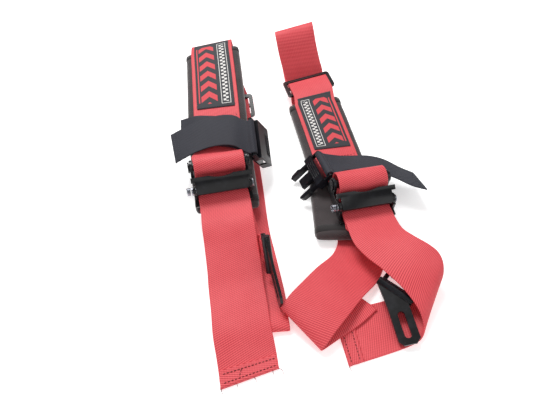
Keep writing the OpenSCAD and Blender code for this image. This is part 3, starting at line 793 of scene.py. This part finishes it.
@dataclass
class LooseThreads:
    """Frayed ends: thin threads that leave an edge and curl on the table."""

    name: str
    track: Track
    places: Sequence[tuple[float, float, float, float]]
    seed: int
    radius: float = 0.22
    rings: int = 18
    sides: int = 5

    def build(self, finish: Material) -> Piece:
        """Builds each thread as a five-sided tube along a curling line that sinks to the table.

        The line starts at its place on the strap and turns by a sine of its length; its height
        falls off with the square root of the way gone.
        """
        rng = np.random.default_rng(self.seed)
        t, turn = np.linspace(0, 1, self.rings), around(self.sides)[:, None]
        blocks = []
        for s, u, reach, way in self.places:
            start = self.track.at(np.array(s), np.array(u), np.array(0.0))
            angle = math.radians(way) + 0.9 * np.sin(t * rng.uniform(2, 5) + rng.uniform(0, 3))
            step = reach / (self.rings - 1)
            way_x, way_y = np.cumsum(np.cos(angle)) * step, np.cumsum(np.sin(angle)) * step
            line = start + np.column_stack([way_x, way_y, np.zeros(self.rings)])
            line[:, 2] = np.maximum(self.radius, start[2] * (1 - np.sqrt(t)))
            tangent = unit(np.gradient(line, axis=0))
            side = unit(np.cross(tangent, [0, 0, 1.0]))
            up = np.cross(side, tangent)
            thin = self.radius * np.sqrt(np.maximum(0.12, 1 - t))[:, None, None]
            blocks.append(line[:, None] + thin * (side[:, None] * np.cos(turn) + up[:, None] * np.sin(turn)))
        faces = copies(closed_tube(self.sides, self.rings), self.sides * self.rings, len(blocks))
        return make_object(self.name, np.array(blocks), faces, finish)


@dataclass
class Pad:
    """A shoulder pad: foam in a sewn sleeve, its long sides drawn in at the seam, its ends bound."""

    name: str
    track: Track
    seed: int
    sides: int = 96
    end_round: float = 9.0
    tack_pitch: float = 38.0
    tape_w: float = 9.0

    def outline(self) -> tuple[np.ndarray, np.ndarray]:
        """Gives the superellipse outline as shares of the width and heights in millimetres."""
        c, sn = np.cos(around(self.sides)), np.sin(around(self.sides))
        return 0.5 * np.sign(c) * np.abs(c) ** 0.35, PAD_T / 2 * np.sign(sn) * np.abs(sn) ** 0.55

    def taper(self, s: np.ndarray) -> np.ndarray:
        """Gives the quarter circle by which both ends thin: 0 at the very end, 1 past the rounding."""
        end = np.clip(np.minimum(s, self.track.length() - s) / self.end_round, 0, 1)
        return np.sqrt(1 - (1 - end) ** 2)[:, None]

    def build(self, finish: Material) -> Piece:
        """Builds the sleeve.

        The outline thins over the last few millimetres at both ends, is drawn in by a bell-shaped
        dip wherever the foam is tacked, has a raised welt along both sides, and wrinkles along a
        slanting sine.
        """
        share, height = self.outline()
        along, out = self.track.distance[:, None], np.abs(share)[None] * 2
        taper = self.taper(self.track.distance)
        thick, wide, crown = 0.24 + 0.76 * taper, 0.93 + 0.07 * taper, 1 - 0.05 * out**4
        u = share[None] * PAD_W * wide
        wrinkle = 0.32 * np.sin(along / 5.2 + u * 0.11) * np.clip(out - 0.55, 0, 1)
        wrinkle = wrinkle + ripple(along, u, self.seed, 0.5)
        from_tack = (along + 10) % self.tack_pitch - self.tack_pitch / 2
        tack = -0.35 * np.exp(-((from_tack / 2.2) ** 2)) * np.clip(out - 0.3, 0, 1)
        side_welt = 0.8 * np.exp(-((height[None] / 1.1) ** 2)) * np.sign(share)[None]
        h = height[None] * thick * crown + np.sign(height)[None] * (tack + np.minimum(wrinkle, 0.15)) * thick
        s = np.repeat(along, self.sides, 1)
        points = self.track.at(s, u + side_welt * 0.6, h)
        faces = closed_tube(self.sides, len(s))
        run = np.hypot(np.diff(share, append=share[0]) * PAD_W, np.diff(height, append=height[0]))
        uv = np.stack([np.repeat(np.cumsum(run)[None], len(s), 0), s], axis=-1).reshape(-1, 2)
        return make_object(self.name, points, faces, finish, uv[np.concatenate(faces)])

    def binding(self, finish: Material) -> Piece:
        """Builds the tape that binds both ends: a ring of the pad's outline, a little larger."""
        share, height = self.outline()
        profile = np.array([[0.0, -0.4], [0.1, 0.45], [0.5, 0.6], [0.9, 0.45], [1.0, -0.4]])
        inset, total, proud = self.end_round * 0.55, self.track.length(), profile[:, 1][:, None]
        loop = tube_faces(self.sides, len(profile) + 1) % (self.sides * len(profile))
        bands, faces = [], []
        for start, way in ((inset, 1.0), (total - inset, -1.0)):
            s = start + way * self.tape_w * profile[:, 0]
            taper = self.taper(s)
            u = share[None] * PAD_W * (0.93 + 0.07 * taper) + np.sign(share)[None] * proud
            h = height[None] * (0.24 + 0.76 * taper) * 0.97 + np.sign(height)[None] * proud * 0.7
            faces.append((loop if way > 0 else loop[:, ::-1]) + len(bands) * self.sides * len(profile))
            bands.append(self.track.at(np.repeat(s[:, None], self.sides, 1), u, h))
        quads = np.vstack(faces)
        girth = np.tile(np.arange(self.sides) * 1.6, 2 * len(profile))
        along = np.repeat(np.tile(profile[:, 0] * self.tape_w, 2), self.sides)
        uv = np.column_stack([girth, along])[quads.ravel()]
        return make_object(self.name + "_binding", np.array(bands), quads.tolist(), finish, uv)


@dataclass(frozen=True)
class TorsionSpring:
    """The lever's spring: a coil of wire round the pin."""

    pose: Pose
    centre: tuple[float, float] = (-13.0, -2.4)
    coil_r: float = 3.4
    wire_r: float = 0.6
    turns: float = 3.0
    start: float = 31.3
    sides: int = 12
    steps_a_turn: int = 40

    def build(self, name: str, finish: Material) -> Piece:
        """Builds the wire: a circle carried along a helix whose turns lie almost against each other."""
        t = np.linspace(0, self.turns, int(self.turns * self.steps_a_turn) + 1)
        c, sn = np.cos(TAU * t), np.sin(TAU * t)
        x = -(self.start + self.wire_r + t * 2.02 * self.wire_r * (self.turns - 0.55) / self.turns)
        line = np.column_stack([x, self.centre[0] + self.coil_r * c, self.centre[1] + self.coil_r * sn])
        out = np.column_stack([np.zeros(len(t)), c, sn])
        up = np.cross(unit(np.gradient(line, axis=0)), out)
        turn = around(self.sides)[:, None]
        ring = out[:, None] * np.cos(turn) + up[:, None] * np.sin(turn)
        points = self.pose.world((line[:, None] + self.wire_r * ring).reshape(-1, 3))
        return make_object(name, points, closed_tube(self.sides, len(t)), finish)


@dataclass(frozen=True)
class GripRibs:
    """Finger ribs moulded across a buckle half: low rounded bars side by side."""

    pose: Pose
    body: str
    from_y: float
    pitch: float
    height: float
    half_length: float
    count: int = 4
    radius: float = 0.75
    sunk: float = 0.25
    rings: int = 9
    sides: int = 10

    def build(self, name: str, finish: Material) -> Piece:
        """Builds the bars on both faces, each a circle carried across with its ends drawn in."""
        t = np.linspace(-1, 1, self.rings)
        fat = self.radius * np.sqrt(np.maximum(0.03, 1 - np.abs(t) ** 8))[:, None]
        turn = around(self.sides)
        x = np.repeat((t * self.half_length)[:, None], self.sides, axis=1)
        blocks = []
        for side in (-1.0, 1.0):
            for k in range(self.count):
                y = self.from_y + k * self.pitch + fat * np.cos(turn)
                z = side * (self.height - self.sunk) + fat * np.sin(turn)
                blocks.append(self.pose.world(np.stack([x, y, z], axis=-1).reshape(-1, 3)))
        faces = copies(closed_tube(self.sides, self.rings), self.rings * self.sides, len(blocks))
        return settle(make_object(name, np.vstack(blocks), faces, finish), "black_plastic", body=self.body)


# ------------------------------------------------------------------------------------ the halves
def climb(yaw: float, pitch: float) -> list[float]:
    """Gives the direction square to a yaw that rises by a pitch, both in degrees."""
    y, p = math.radians(yaw), math.radians(pitch)
    return [-math.sin(y) * math.cos(p), math.cos(y) * math.cos(p), math.sin(p)]


LEFT_ADJUSTER = Pose((-54, -56, 48), heading(13, 0), climb(13, 20))
LEFT_SLIDE = Pose((-56, 82, 26), heading(8, 3), (-0.2, 0.9, 0.36))
LEFT_SOCKET = Pose((-24, -5, 53), (0.12, -0.9, -0.42), (0.33, 0.6, -0.73))
LEFT_LINK = Pose((-9, -130, 21), (0.135, -0.525, -0.841), (0.21, -0.815, 0.542))
RIGHT_ADJUSTER = Pose((87, -66, 34.5), heading(13, 0), climb(13, 10))
RIGHT_SLIDE = Pose((43, 140, 21), heading(14, 8), (-0.22, 0.97, 0.02))
RIGHT_PLUG = Pose((51.5, -26, 34), (-0.25, 0.95, -0.1), (-0.68, -0.25, -0.68))
RIGHT_LINK = Pose((115, -161, 16.5), (0.775, -0.633, -0.046), (-0.62, -0.74, -0.19))


@dataclass(frozen=True)
class FittingRoutes:
    """How the webbing runs through the fittings, in each fitting's own y-z plane."""

    bar: tuple[float, float] = (10.0, 4.0)
    plate_top: float = -11.5
    plate_back: float = 21.5
    slot_to: float = 17.0
    frame_t: float = 2.5
    link_bar_r: float = 2.2

    def low(self) -> float:
        """Height of the lower layer above the adjuster's floor plate."""
        return self.plate_top + GAP + WEBBING_T / 2 + 0.1

    def high(self) -> float:
        """Height of the layer on top of it."""
        return self.low() + WEBBING_T + GAP + 0.1

    def adjuster_in(self) -> list[list[float]]:
        """The layer that comes in from the link."""
        z = self.low()
        return [[-34, z - 1.2], [-27, z - 0.1], [-22, z], [-13, z], [-4, z + 0.8], [3, z + 3.2]]

    def adjuster_turn(self, radius: float) -> list[list[float]]:
        """The turn round the bar: points of a circle from -85 to 190 degrees."""
        angle = np.radians(np.linspace(-85, 190, 13))
        y, z = self.bar[0] + radius * np.cos(angle), self.bar[1] + radius * np.sin(angle)
        return np.column_stack([y, z]).tolist()

    def adjuster_out(self) -> list[list[float]]:
        """The layer that leaves for the tail."""
        z = self.high()
        return [[-2.4, -3], [-6.5, -7.3], [-13, z], [-22, z + 0.1], [-32, z + 1.2]]

    def anchor(self) -> list[list[float]]:
        """The sewn loop round the frame's rear bar."""
        off = WEBBING_T / 2 + TURN_GAP
        low, high = self.plate_top - self.frame_t - off, self.plate_top + off
        back, slot = self.plate_back, self.slot_to
        return [
            [back + 9, low - 1], [back + 4, low - 0.3], [back, low], [slot - 0.2, low - 0.2],
            [slot - off - 0.6, self.plate_top - self.frame_t / 2], [slot - 0.2, high + 0.2], [back, high],
            [back + 4.5, high - 0.9], [back + 9.5, low + WEBBING_T + GAP - 0.6],
        ]

    def slide_first(self) -> list[list[float]]:
        """The first pass through the slide, over two bars and under the third."""
        return [
            [-22, 3.4], [-14, 4.5], [-6, 4.6], [0, 4.5], [4.5, 4.2], [7.8, 0.8],
            [11.2, -3.1], [15.5, -3.3], [20, -3.4],
        ]

    def slide_second(self) -> list[list[float]]:
        """The second pass, back over the middle bar and down."""
        return [
            [20, -6.4], [15.5, -5.9], [11.5, -5.3], [8.4, -4], [5.6, -0.6],
            [3.2, 2.3], [0, 2.5], [-3.2, 2.3], [-5.6, -0.6],
        ]

    def slide_under(self) -> list[list[float]]:
        """Below the front bar, on the way into the front slot."""
        return [[-18, -4.6], [-12, -4]]

    def link(self) -> list[list[float]]:
        """The folded webbing round the link's bar, short end first."""
        turn = self.link_bar_r + TURN_GAP + WEBBING_T / 2
        return [
            [-13, -1.3], [-8, -1.6], [-3, -turn + 0.1], [0.2, -turn], [2.3, -2.3], [turn, 0],
            [2.3, 2.3], [0.2, turn], [-3, turn - 0.1], [-8, 1.5], [-16, 1.0],
        ]

    def buckle(self) -> list[list[float]]:
        """The chest strap round a buckle's bar."""
        turn = self.link_bar_r + TURN_GAP + WEBBING_T / 2
        far, near = [[turn, -4], [turn - 0.15, 0.9], [2.3, 2.3]], [[-2.3, 2.3], [0.15 - turn, 0.9], [-turn, -4]]
        return far + [[0, turn]] + near


ROUTES = FittingRoutes()


def pad_strip(pad: np.ndarray, first: int, last_off: int) -> np.ndarray:
    """Gives the route rows of the webbing on top of a pad, from the pad's own coarse curve.

    Args:
        pad: the pad's rows.
        first: the first sample that the webbing lies on.
        last_off: how many samples before the end it stops.

    Returns:
        Rows lifted off the pad's middle by half its thickness and half the webbing's.
    """
    rows = Track(coarse_curve(pad)).lifted(PAD_T / 2 + GAP + WEBBING_T / 2 + 0.3, WEBBING_W).samples
    return rows[first : len(rows) - last_off]


@dataclass
class Half:
    """One half of the harness: its routes, and the pieces that replace its soft solids."""

    side: Side
    pad_rows: np.ndarray
    rear_rows: np.ndarray
    sternum_rows: np.ndarray
    front_rows: np.ndarray
    label_span: tuple[tuple[float, float, float], tuple[float, float, float]]
    adjuster: Pose
    seed: int
    finishes: Finishes

    def name(self, piece: str) -> str:
        """Puts the half's name in front of a piece's."""
        return f"{self.side.value}_{piece}"

    def build(self) -> None:
        """Builds the half's webbing, pad, label, stitching and spring."""
        routes = (self.rear_rows, self.front_rows, self.sternum_rows)
        rear, front, chest = (Track(smooth(rows, FINE_STEP)) for rows in routes)
        for piece, track, finish, slot in (
            ("rear_strap", rear, self.finishes.red, "red_webbing"),
            ("front_strap", front, self.finishes.red, "red_webbing"),
            ("sternum_strap", chest, self.finishes.black_webbing, "black_webbing"),
        ):
            self.seed += 1
            made = Strap(self.name(piece) + "_webbing", track, WEBBING_T, self.seed).build(finish)
            settle(made, slot, self.name(piece))
            track.length() * MM
        self.build_pad()
        self.build_label(rear)
        self.sew_rear(rear)
        self.sew_hem(front)
        self.sew_chest(chest)
        self.fray(front)
        spring = TorsionSpring(self.adjuster).build(self.name("torsion_spring"), self.finishes.plated)
        settle(spring, "bare_steel", self.name("lever_spring"))

    def build_pad(self) -> None:
        """Builds the pad between the middles of its end rows, with its bound ends and two seams."""
        coarse, past = Track(coarse_curve(self.pad_rows)).distance, 3.3
        track = Track(smooth(self.pad_rows, PAD_STEP)).part(coarse[1] - past, coarse[-2] + past)
        pad = Pad(self.name("pad"), track, self.seed + 20)
        sleeve = pad.build(self.finishes.pad_cloth)
        settle(sleeve, "pad_cloth", self.name("pad_cover"), self.name("pad_foam"), self.name("pad_ends"))
        settle(pad.binding(self.finishes.binding), "binding")
        seams = Stitching(self.name("pad_stitching"), track, 5.15, 3.2, 2.4, 0.24)
        for u in (-28.6, 28.6):
            seams.line(16, u, track.length() - 16, u)
        settle(seams.build(self.finishes.black_thread), "pad_cloth")

    def build_label(self, rear: Track) -> None:
        """Builds the label panel on the webbing, between its two end points, sewn all round."""
        span = rear.part(rear.near(self.label_span[0]), rear.near(self.label_span[1]))
        patch = span.lifted(WEBBING_T / 2 + GAP / 2 + LABEL_T / 2 + 0.12, LABEL_W)
        hand = -1.0 if self.side is Side.LEFT else 1.0
        finish = WovenLabel(self.name("damask_label"), patch.length(), hand).make()
        made = Strap(self.name("label_panel"), patch, LABEL_T, self.seed + 40, 20, 0.08, 0.05).build(finish)
        settle(made, "label", self.name("label"))
        patch.length() * MM
        seam = Stitching(self.name("label_stitching"), patch, LABEL_T / 2, 2.8, 2.1, 0.22)
        near, far, edge = 1.6, patch.length() - 1.6, LABEL_W / 2 - 1.6
        for u in (-edge, edge):
            seam.line(near, u, far, u)
        for s in (near, far):
            seam.line(s, -edge, s, edge)
        settle(seam.build(self.finishes.black_thread), "label")

    def sew_rear(self, rear: Track) -> None:
        """Sews the bartack below the label: three rows across and one along each edge."""
        top, edge = rear.near(self.label_span[0]) - 24, 21.5
        sewn = Stitching(self.name("rear_stitching"), rear.face_up(top), WEBBING_T / 2)
        for s in (top, top + 5, top + 10):
            sewn.line(s, -edge, s, edge)
        for u in (-edge, edge):
            sewn.line(top, u, top + 16, u)
        settle(sewn.build(self.finishes.red_thread), "red_webbing")

    def sew_hem(self, front: Track) -> None:
        """Turns the tail's end over as a fold of its own and sews it with two rows and a slanting tick."""
        end, fold_t = front.length(), 1.0
        route = front.face_up(end - 6).part(end - 15.0, end + 1.0)
        turned = route.lifted(WEBBING_T / 2 + 0.55, WEBBING_W - 0.4)
        fold = Strap(self.name("hem_fold"), turned, fold_t, self.seed + 50, 20, 0.12, 0.05)
        settle(fold.build(self.finishes.red), "red_webbing")
        near, far = 3.5, turned.length() - 3.0
        hem = Stitching(self.name("hem_stitching"), turned, 0.55, 3.0, 2.4, 0.42)
        for s in (near, far):
            hem.line(s, -23, s, 23)
        hem.line(near, 6, far, 9)
        settle(hem.build(self.finishes.red_thread), "red_webbing")

    def sew_chest(self, chest: Track) -> None:
        """Sews two rows across the chest strap's free end."""
        last = chest.length()
        tacks = Stitching(self.name("chest_stitching"), chest.face_up(last - 5), WEBBING_T / 2, 2.8, 2.1, 0.22)
        for s in (last - 3.5, last - 7):
            tacks.line(s, -17, s, 17)
        settle(tacks.build(self.finishes.black_thread), "black_webbing")

    def fray(self, front: Track) -> None:
        """Draws five loose threads from the tail's end, each by its place across, reach and heading."""
        threads = ((-24, 9, 250), (-12, 6, 300), (3, 7, 270), (20, 8, 240), (24.5, 12, 330))
        places = [(front.length() - 0.5, *thread) for thread in threads]
        loose = LooseThreads(self.name("loose_threads"), front, places, self.seed + 60)
        settle(loose.build(self.finishes.red_thread), "red_webbing")


def left_half(finishes: Finishes) -> Half:
    """Lays out the left half, ready to build."""
    pad = rows_at([
        [-46, -82, 13, 8, 0, PAD_W], [-53, -38, 27, 9, 0, PAD_W], [-61, 12, 43, 7, 2, PAD_W],
        [-66, 55, 53, 7, 4, PAD_W],
        [-71, 98, 60, 7, 6, PAD_W], [-75, 130, 64, 8, 8, PAD_W], [-77, 146, 64, 9, 8, PAD_W],
    ])
    w = WEBBING_W
    rear = np.vstack([
        LEFT_ADJUSTER.rows(ROUTES.anchor(), w),
        pad_strip(pad, 8, 2),
        rows_at([
            [-78, 152, 71, 9, 8, w], [-78, 157, 66, 9, 8, w], [-77, 159, 58, 9, 8, w],
            [-76, 155, 51, 9, 7, w],
            [-73, 143, 45, 9, 6, w], [-67, 122, 37, 8, 4, w],
        ]),
        LEFT_SLIDE.rows(ROUTES.slide_first()[::-1], w),
        rows_at([
            [-50, 48, 16, 8, 2, w], [-43, 6, 6, 8, 0, w], [-38, -30, 2.8, 8, 0, w], [-31, -90, 2.8, 8, 0, w],
            [-24, -126, 2.8, 9, 0, w], [-17, -162, 3.4, 8, 0, w], [-14, -184, 5.6, 7, 0, w],
            [-13, -197, 7, 6, 0, w],
            [-12, -204, 6, 5, 0, w], [-12, -206, 3.8, 5, 0, w], [-13, -203, 1.9, 5, 0, w],
            [-14, -194, 1.1, 6, 0, w],
            [-18, -162, FLAT_Z, 8, 0, w], [-24, -126, FLAT_Z, 9, 0, w], [-31, -90, FLAT_Z, 8, 0, w],
            [-38, -30, FLAT_Z, 8, 0, w], [-43, 6, 2.6, 8, 0, w], [-49, 38, 8, 8, 2, w],
        ]),
        LEFT_SLIDE.rows(ROUTES.slide_under() + ROUTES.slide_second()[::-1], w),
    ])
    c = STERNUM_W
    chest = np.vstack([
        rows_at([
            [-101, 9, 46, 276, -13, c], [-84, 7, 52.2, 274, -16, c],
            [-62, 4, 54.2, 273, -17, c], [-44, 1, 54.4, 274, -19, c],
        ]),
        LEFT_SOCKET.rows(ROUTES.buckle(), c),
        rows_at([
            [-44, -1, 58.8, 274, -19, c], [-62, 0, 57.4, 272, -17, c], [-82, -5, 53.4, 275, -16, c],
            [-98, -10, 47.5, 280, -14, c], [-107, -13, 43.5, 284, -13, c],
        ]),
    ])
    front = np.vstack([
        LEFT_LINK.rows(ROUTES.link(), FOLDED_W),
        rows_at([[-18, -114, 17, 345, -36, 24], [-31, -103, 17, 5, -10, 32]]),
        LEFT_ADJUSTER.rows(ROUTES.adjuster_in(), w),
        LEFT_ADJUSTER.rows(ROUTES.adjuster_turn(9.6), w),
        LEFT_ADJUSTER.rows(ROUTES.adjuster_out(), w),
        rows_at([
            [-45, -102, 30, 11, 0, w], [-41, -124, 22, 10, 0, w], [-37, -147, 14.5, 10, 0, w],
            [-35, -162, 11, 10, 0, w],
            [-31, -185, 10, 10, 0, w], [-28, -206, 8.5, 12, 0, w], [-24, -224, 3.2, 16, 0, w],
            [-22, -234, FLAT_Z + 0.2, 18, 0, w], [-20, -246, FLAT_Z, 21, 0, w],
        ]),
    ])
    label = ((-66, 38, 58), (-78, 149, 73))
    return Half(Side.LEFT, pad, rear, chest, front, label, LEFT_ADJUSTER, 100, finishes)


def right_half(finishes: Finishes) -> Half:
    """Lays out the right half, ready to build."""
    pad = rows_at([
        [72.5, -118, 9.2, 2, 0, PAD_W], [70, -50, 8.8, 2, 0, PAD_W], [68, 0, 8.5, 8, 0, PAD_W],
        [61, 45, 9, 10, 2, PAD_W],
        [54, 82, 11, 11, 4, PAD_W], [47, 118, 13, 12, 6, PAD_W],
    ])
    w = WEBBING_W
    rear = np.vstack([
        RIGHT_ADJUSTER.rows(ROUTES.anchor(), w),
        pad_strip(pad, 9, 2),
        RIGHT_SLIDE.rows(ROUTES.slide_first(), w),
        rows_at([
            [38, 162, 22, 14, 9, w], [34, 166, 34, 14, 9, w], [29, 172, 52, 14, 9, w],
            [26, 178, 65, 14, 9, w],
            [24, 186, 72, 14, 9, w], [24, 195, 70, 14, 9, w], [25, 200, 60, 14, 9, w],
            [28, 200, 42, 14, 9, w],
            [33, 192, 24, 14, 8, w], [37, 174, 13, 14, 8, w],
        ]),
        RIGHT_SLIDE.rows(ROUTES.slide_second(), w),
        rows_at([
            [45, 132, 9, 14, 5, w], [46, 127, 4.8, 13, 2, w], [48, 121, 2.2, 12, 0, w],
            [50, 112, 1, 12, 0, w],
            [54, 90, FLAT_Z, 11, 0, w], [62, 45, FLAT_Z, 8, 0, w], [68, 0, FLAT_Z, 2, 0, w],
            [73, -40, FLAT_Z, -8, 0, w],
            [79, -78, FLAT_Z, -20, 0, w], [84, -112, 1, -30, 0, w], [76, -137, 5.5, -36, 0, w],
            [58, -160, 12, -38, -3, w],
            [42, -182, 17, -38, -6, w], [32, -195, 18, -40, -8, w], [25, -204, 15, -44, -9, w],
            [22, -206, 10.5, -47, -9, w],
            [26, -202, 7, -50, -9, w], [38, -193, 5.5, -50, -6, w], [58, -179, 3.6, -46, 0, w],
            [72, -166, 3, -42, 0, w],
        ]),
    ])
    c = STERNUM_W
    chest = np.vstack([
        rows_at([[83, -20, 25.4, 92, -19, c], [68, -22, 27, 94, -18, c]]),
        RIGHT_PLUG.rows(ROUTES.buckle(), c),
        rows_at([
            [70, -21.5, 31.4, 94, -18, c], [86, -19, 29.6, 92, -19, c], [102, -19, 28.5, 92, -16, c],
            [120, -24.5, 27, 96, -13, c],
            [138, -33, 23, 98, -13, c], [153, -36, 19, 100, -15, c],
        ]),
    ])
    front = np.vstack([
        RIGHT_LINK.rows(ROUTES.link(), FOLDED_W),
        rows_at([[122, -130, 18.5, 345, -4, 28], [106, -112, 17, 358, 0, 40]]),
        RIGHT_ADJUSTER.rows(ROUTES.adjuster_in(), w),
        RIGHT_ADJUSTER.rows(ROUTES.adjuster_turn(11.2), w),
        RIGHT_ADJUSTER.rows(ROUTES.adjuster_out(), w),
        rows_at([
            [98, -116, 24.5, 17, 5, w], [106, -130, 27, 21, 9, w], [119, -144, 28, 29, 9, w],
            [130, -157, 26, 42, 9, w],
            [137, -171, 21, 55, 10, w], [138, -182, 13, 63, 9, w], [133, -188, 6, 70, 3, w],
            [124, -191, 2.4, 78, 0, w],
            [112, -194, 1, 86, 0, w], [98, -198, FLAT_Z, 92, 0, w], [56, -211, FLAT_Z, 101, 0, w],
        ]),
    ])
    label = ((66, 20, 17), (46, 113, 22))
    return Half(Side.RIGHT, pad, rear, chest, front, label, RIGHT_ADJUSTER, 200, finishes)


@dataclass(frozen=True)
class Fitting:
    """One kind of fitting: its finish, its slot and the radius that its edges are broken to."""

    finish: Material
    slot: str
    edge_mm: float


@dataclass
class Hardware:
    """The steel and plastic fittings: copies of the model's shapes with their sharp edges broken.

    An edge is broken no further than the shortest edges of its fitting let it be, so on the levers,
    the socket and the plug it stays all but sharp.
    """

    nodes: dict[str, Piece]
    bodies: dict[str, list[str]]
    finishes: Finishes
    merge_within: float = 2e-6
    flat_within: float = 0.6
    sharp_over: float = 35.0

    def kinds(self) -> dict[str, Fitting]:
        """Says what each fitting is made of and how far its edges are broken."""
        f = self.finishes
        steel = {"tri_glide": 0.5, "adjuster_frame": 0.35, "adjuster_bar": 0.3, "lever": 0.5}
        steel["link_plate"] = 0.55
        plastic = {"link_cover": 0.3, "socket": 0.7, "plug_body": 0.7, "prong_upper": 0.5, "prong_lower": 0.5}
        made = {kind: Fitting(f.steel, "black_steel", edge) for kind, edge in steel.items()}
        made |= {kind: Fitting(f.plastic, "black_plastic", edge) for kind, edge in plastic.items()}
        made["lever_pin"] = Fitting(f.plated, "bare_steel", 0.3)
        return made

    def dress(self) -> None:
        """Replaces each fitting of the model with its copy."""
        body_of = {node: body for body, members in self.bodies.items() for node in members}
        kinds = self.kinds()
        for name, node in self.nodes.items():
            kind = kinds.get(name.split("_", 1)[1])
            if kind is not None:
                settle(self.copy(node, name + "_rounded", kind), kind.slot, name, body=body_of[name])

    def copy(self, node: Piece, name: str, kind: Fitting) -> Piece:
        """Copies a shape, merges its triangles to flat faces and breaks its edges.

        Args:
            node: the model's object.
            name: the new piece's name.
            kind: its finish and edge radius.

        Returns:
            The linked piece.
        """
        shape = bmesh.new()
        shape.from_mesh(node.data)
        bmesh.ops.remove_doubles(shape, verts=shape.verts, dist=self.merge_within)
        flat = math.radians(self.flat_within)
        bmesh.ops.dissolve_limit(shape, angle_limit=flat, verts=shape.verts, edges=shape.edges)
        mesh = bpy.data.meshes.new(name)
        shape.to_mesh(mesh)
        shape.free()
        mesh.materials.append(kind.finish)
        mesh.polygons.foreach_set("use_smooth", np.ones(len(mesh.polygons), bool))
        piece = link(bpy.data.objects.new(name, mesh))
        edges = piece.modifiers.new("broken_edges", "BEVEL")
        edges.width = kind.edge_mm * MM
        edges.segments = 3
        edges.limit_method = "ANGLE"
        edges.angle_limit = math.radians(self.sharp_over)
        edges.harden_normals = True
        piece.modifiers.new("flat_faces", "WEIGHTED_NORMAL").keep_sharp = True
        return piece


@dataclass(frozen=True)
class SoftBox:
    """A square lamp: its name, place in metres, turn in degrees, side in metres and power in watts."""

    name: str
    place: tuple[float, float, float]
    turn: tuple[float, float, float]
    size: float
    power: float

    def hang(self) -> None:
        """Hangs the lamp."""
        lamp = bpy.data.lights.new(self.name, "AREA")
        lamp.size = self.size
        lamp.energy = self.power
        holder = link(bpy.data.objects.new(self.name, lamp))
        holder.location = self.place
        holder.rotation_euler = tuple(math.radians(t) for t in self.turn)


@dataclass(frozen=True)
class Studio:
    """A pale table, soft lights all round and the camera."""

    focal: float = 34.0
    sensor: float = 36.0
    camera_at: tuple[float, float, float] = (-0.022, -0.406, 0.402)
    pitch: float = 43.0
    sky: float = 0.46
    sky_mirrored_less: float = 0.36
    table_half: float = 4.0

    def build(self) -> None:
        """Builds the table, the lights, the sky and the camera."""
        self.table()
        SoftBox("key", (-0.35, 0.55, 1.15), (-38.0, -16.0, 0.0), 0.6, 13.0).hang()
        SoftBox("fill", (0.75, -0.5, 0.9), (38.0, 36.0, 0.0), 1.0, 2.2).hang()
        SoftBox("front", (-0.2, -1.0, 0.75), (54.0, -10.0, 0.0), 1.0, 1.6).hang()
        self.room()
        self.camera()

    def room(self) -> None:
        """Lights the room evenly, but leaves it dim in reflections so that black stays black."""
        world = bpy.data.worlds.new("soft_room")
        world.use_nodes = True
        tree = world.node_tree
        mirrored = add(tree, "LightPath").outputs["Is Glossy Ray"]
        strength = maths(tree, "SUBTRACT", self.sky, maths(tree, "MULTIPLY", mirrored, self.sky_mirrored_less))
        feed(tree, tree.nodes["Background"], {"Color": linear("#ffffff"), "Strength": strength})
        bpy.context.scene.world = world
        bpy.context.scene.view_settings.view_transform = "Standard"

    def camera(self) -> None:
        """Sets the camera up in front of the harness, looking down at it."""
        camera = bpy.data.cameras.new("camera")
        camera.lens = self.focal
        camera.sensor_width = self.sensor
        camera.clip_start = 0.01
        holder = link(bpy.data.objects.new("camera", camera))
        holder.location = self.camera_at
        holder.rotation_euler = (math.radians(self.pitch), 0.0, 0.0)
        bpy.context.scene.camera = holder

    def table(self) -> None:
        """Builds the table: a wide flat sheet in matt white paint."""
        h = self.table_half
        mesh = bpy.data.meshes.new("table")
        mesh.from_pydata([(-h, -h, 0), (h, -h, 0), (h, h, 0), (-h, h, 0)], [], [(0, 1, 2, 3)])
        mesh.materials.append(MattPaint().make())
        link(bpy.data.objects.new("table", mesh))


def main() -> None:
    """Builds the harness round its model."""
    logging.basicConfig(level=logging.INFO, format="%(name)s: %(message)s")
    for old in list(bpy.data.objects):
        bpy.data.objects.remove(old)
    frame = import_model()
    Studio().build()
    finishes = Finishes()
    Hardware(frame["nodes"], frame["record"]["behaviour"]["bodies"], finishes).dress()
    GripRibs(LEFT_SOCKET, "left_socket", 26.5, 2.3, 5.5, 15.0).build("left_socket_ribs", finishes.plastic)
    GripRibs(RIGHT_PLUG, "right_plug", 9.0, 2.2, 4.5, 14.0).build("right_plug_ribs", finishes.plastic)
    left_half(finishes).build()
    right_half(finishes).build()


if __name__ == "__main__":
    main()
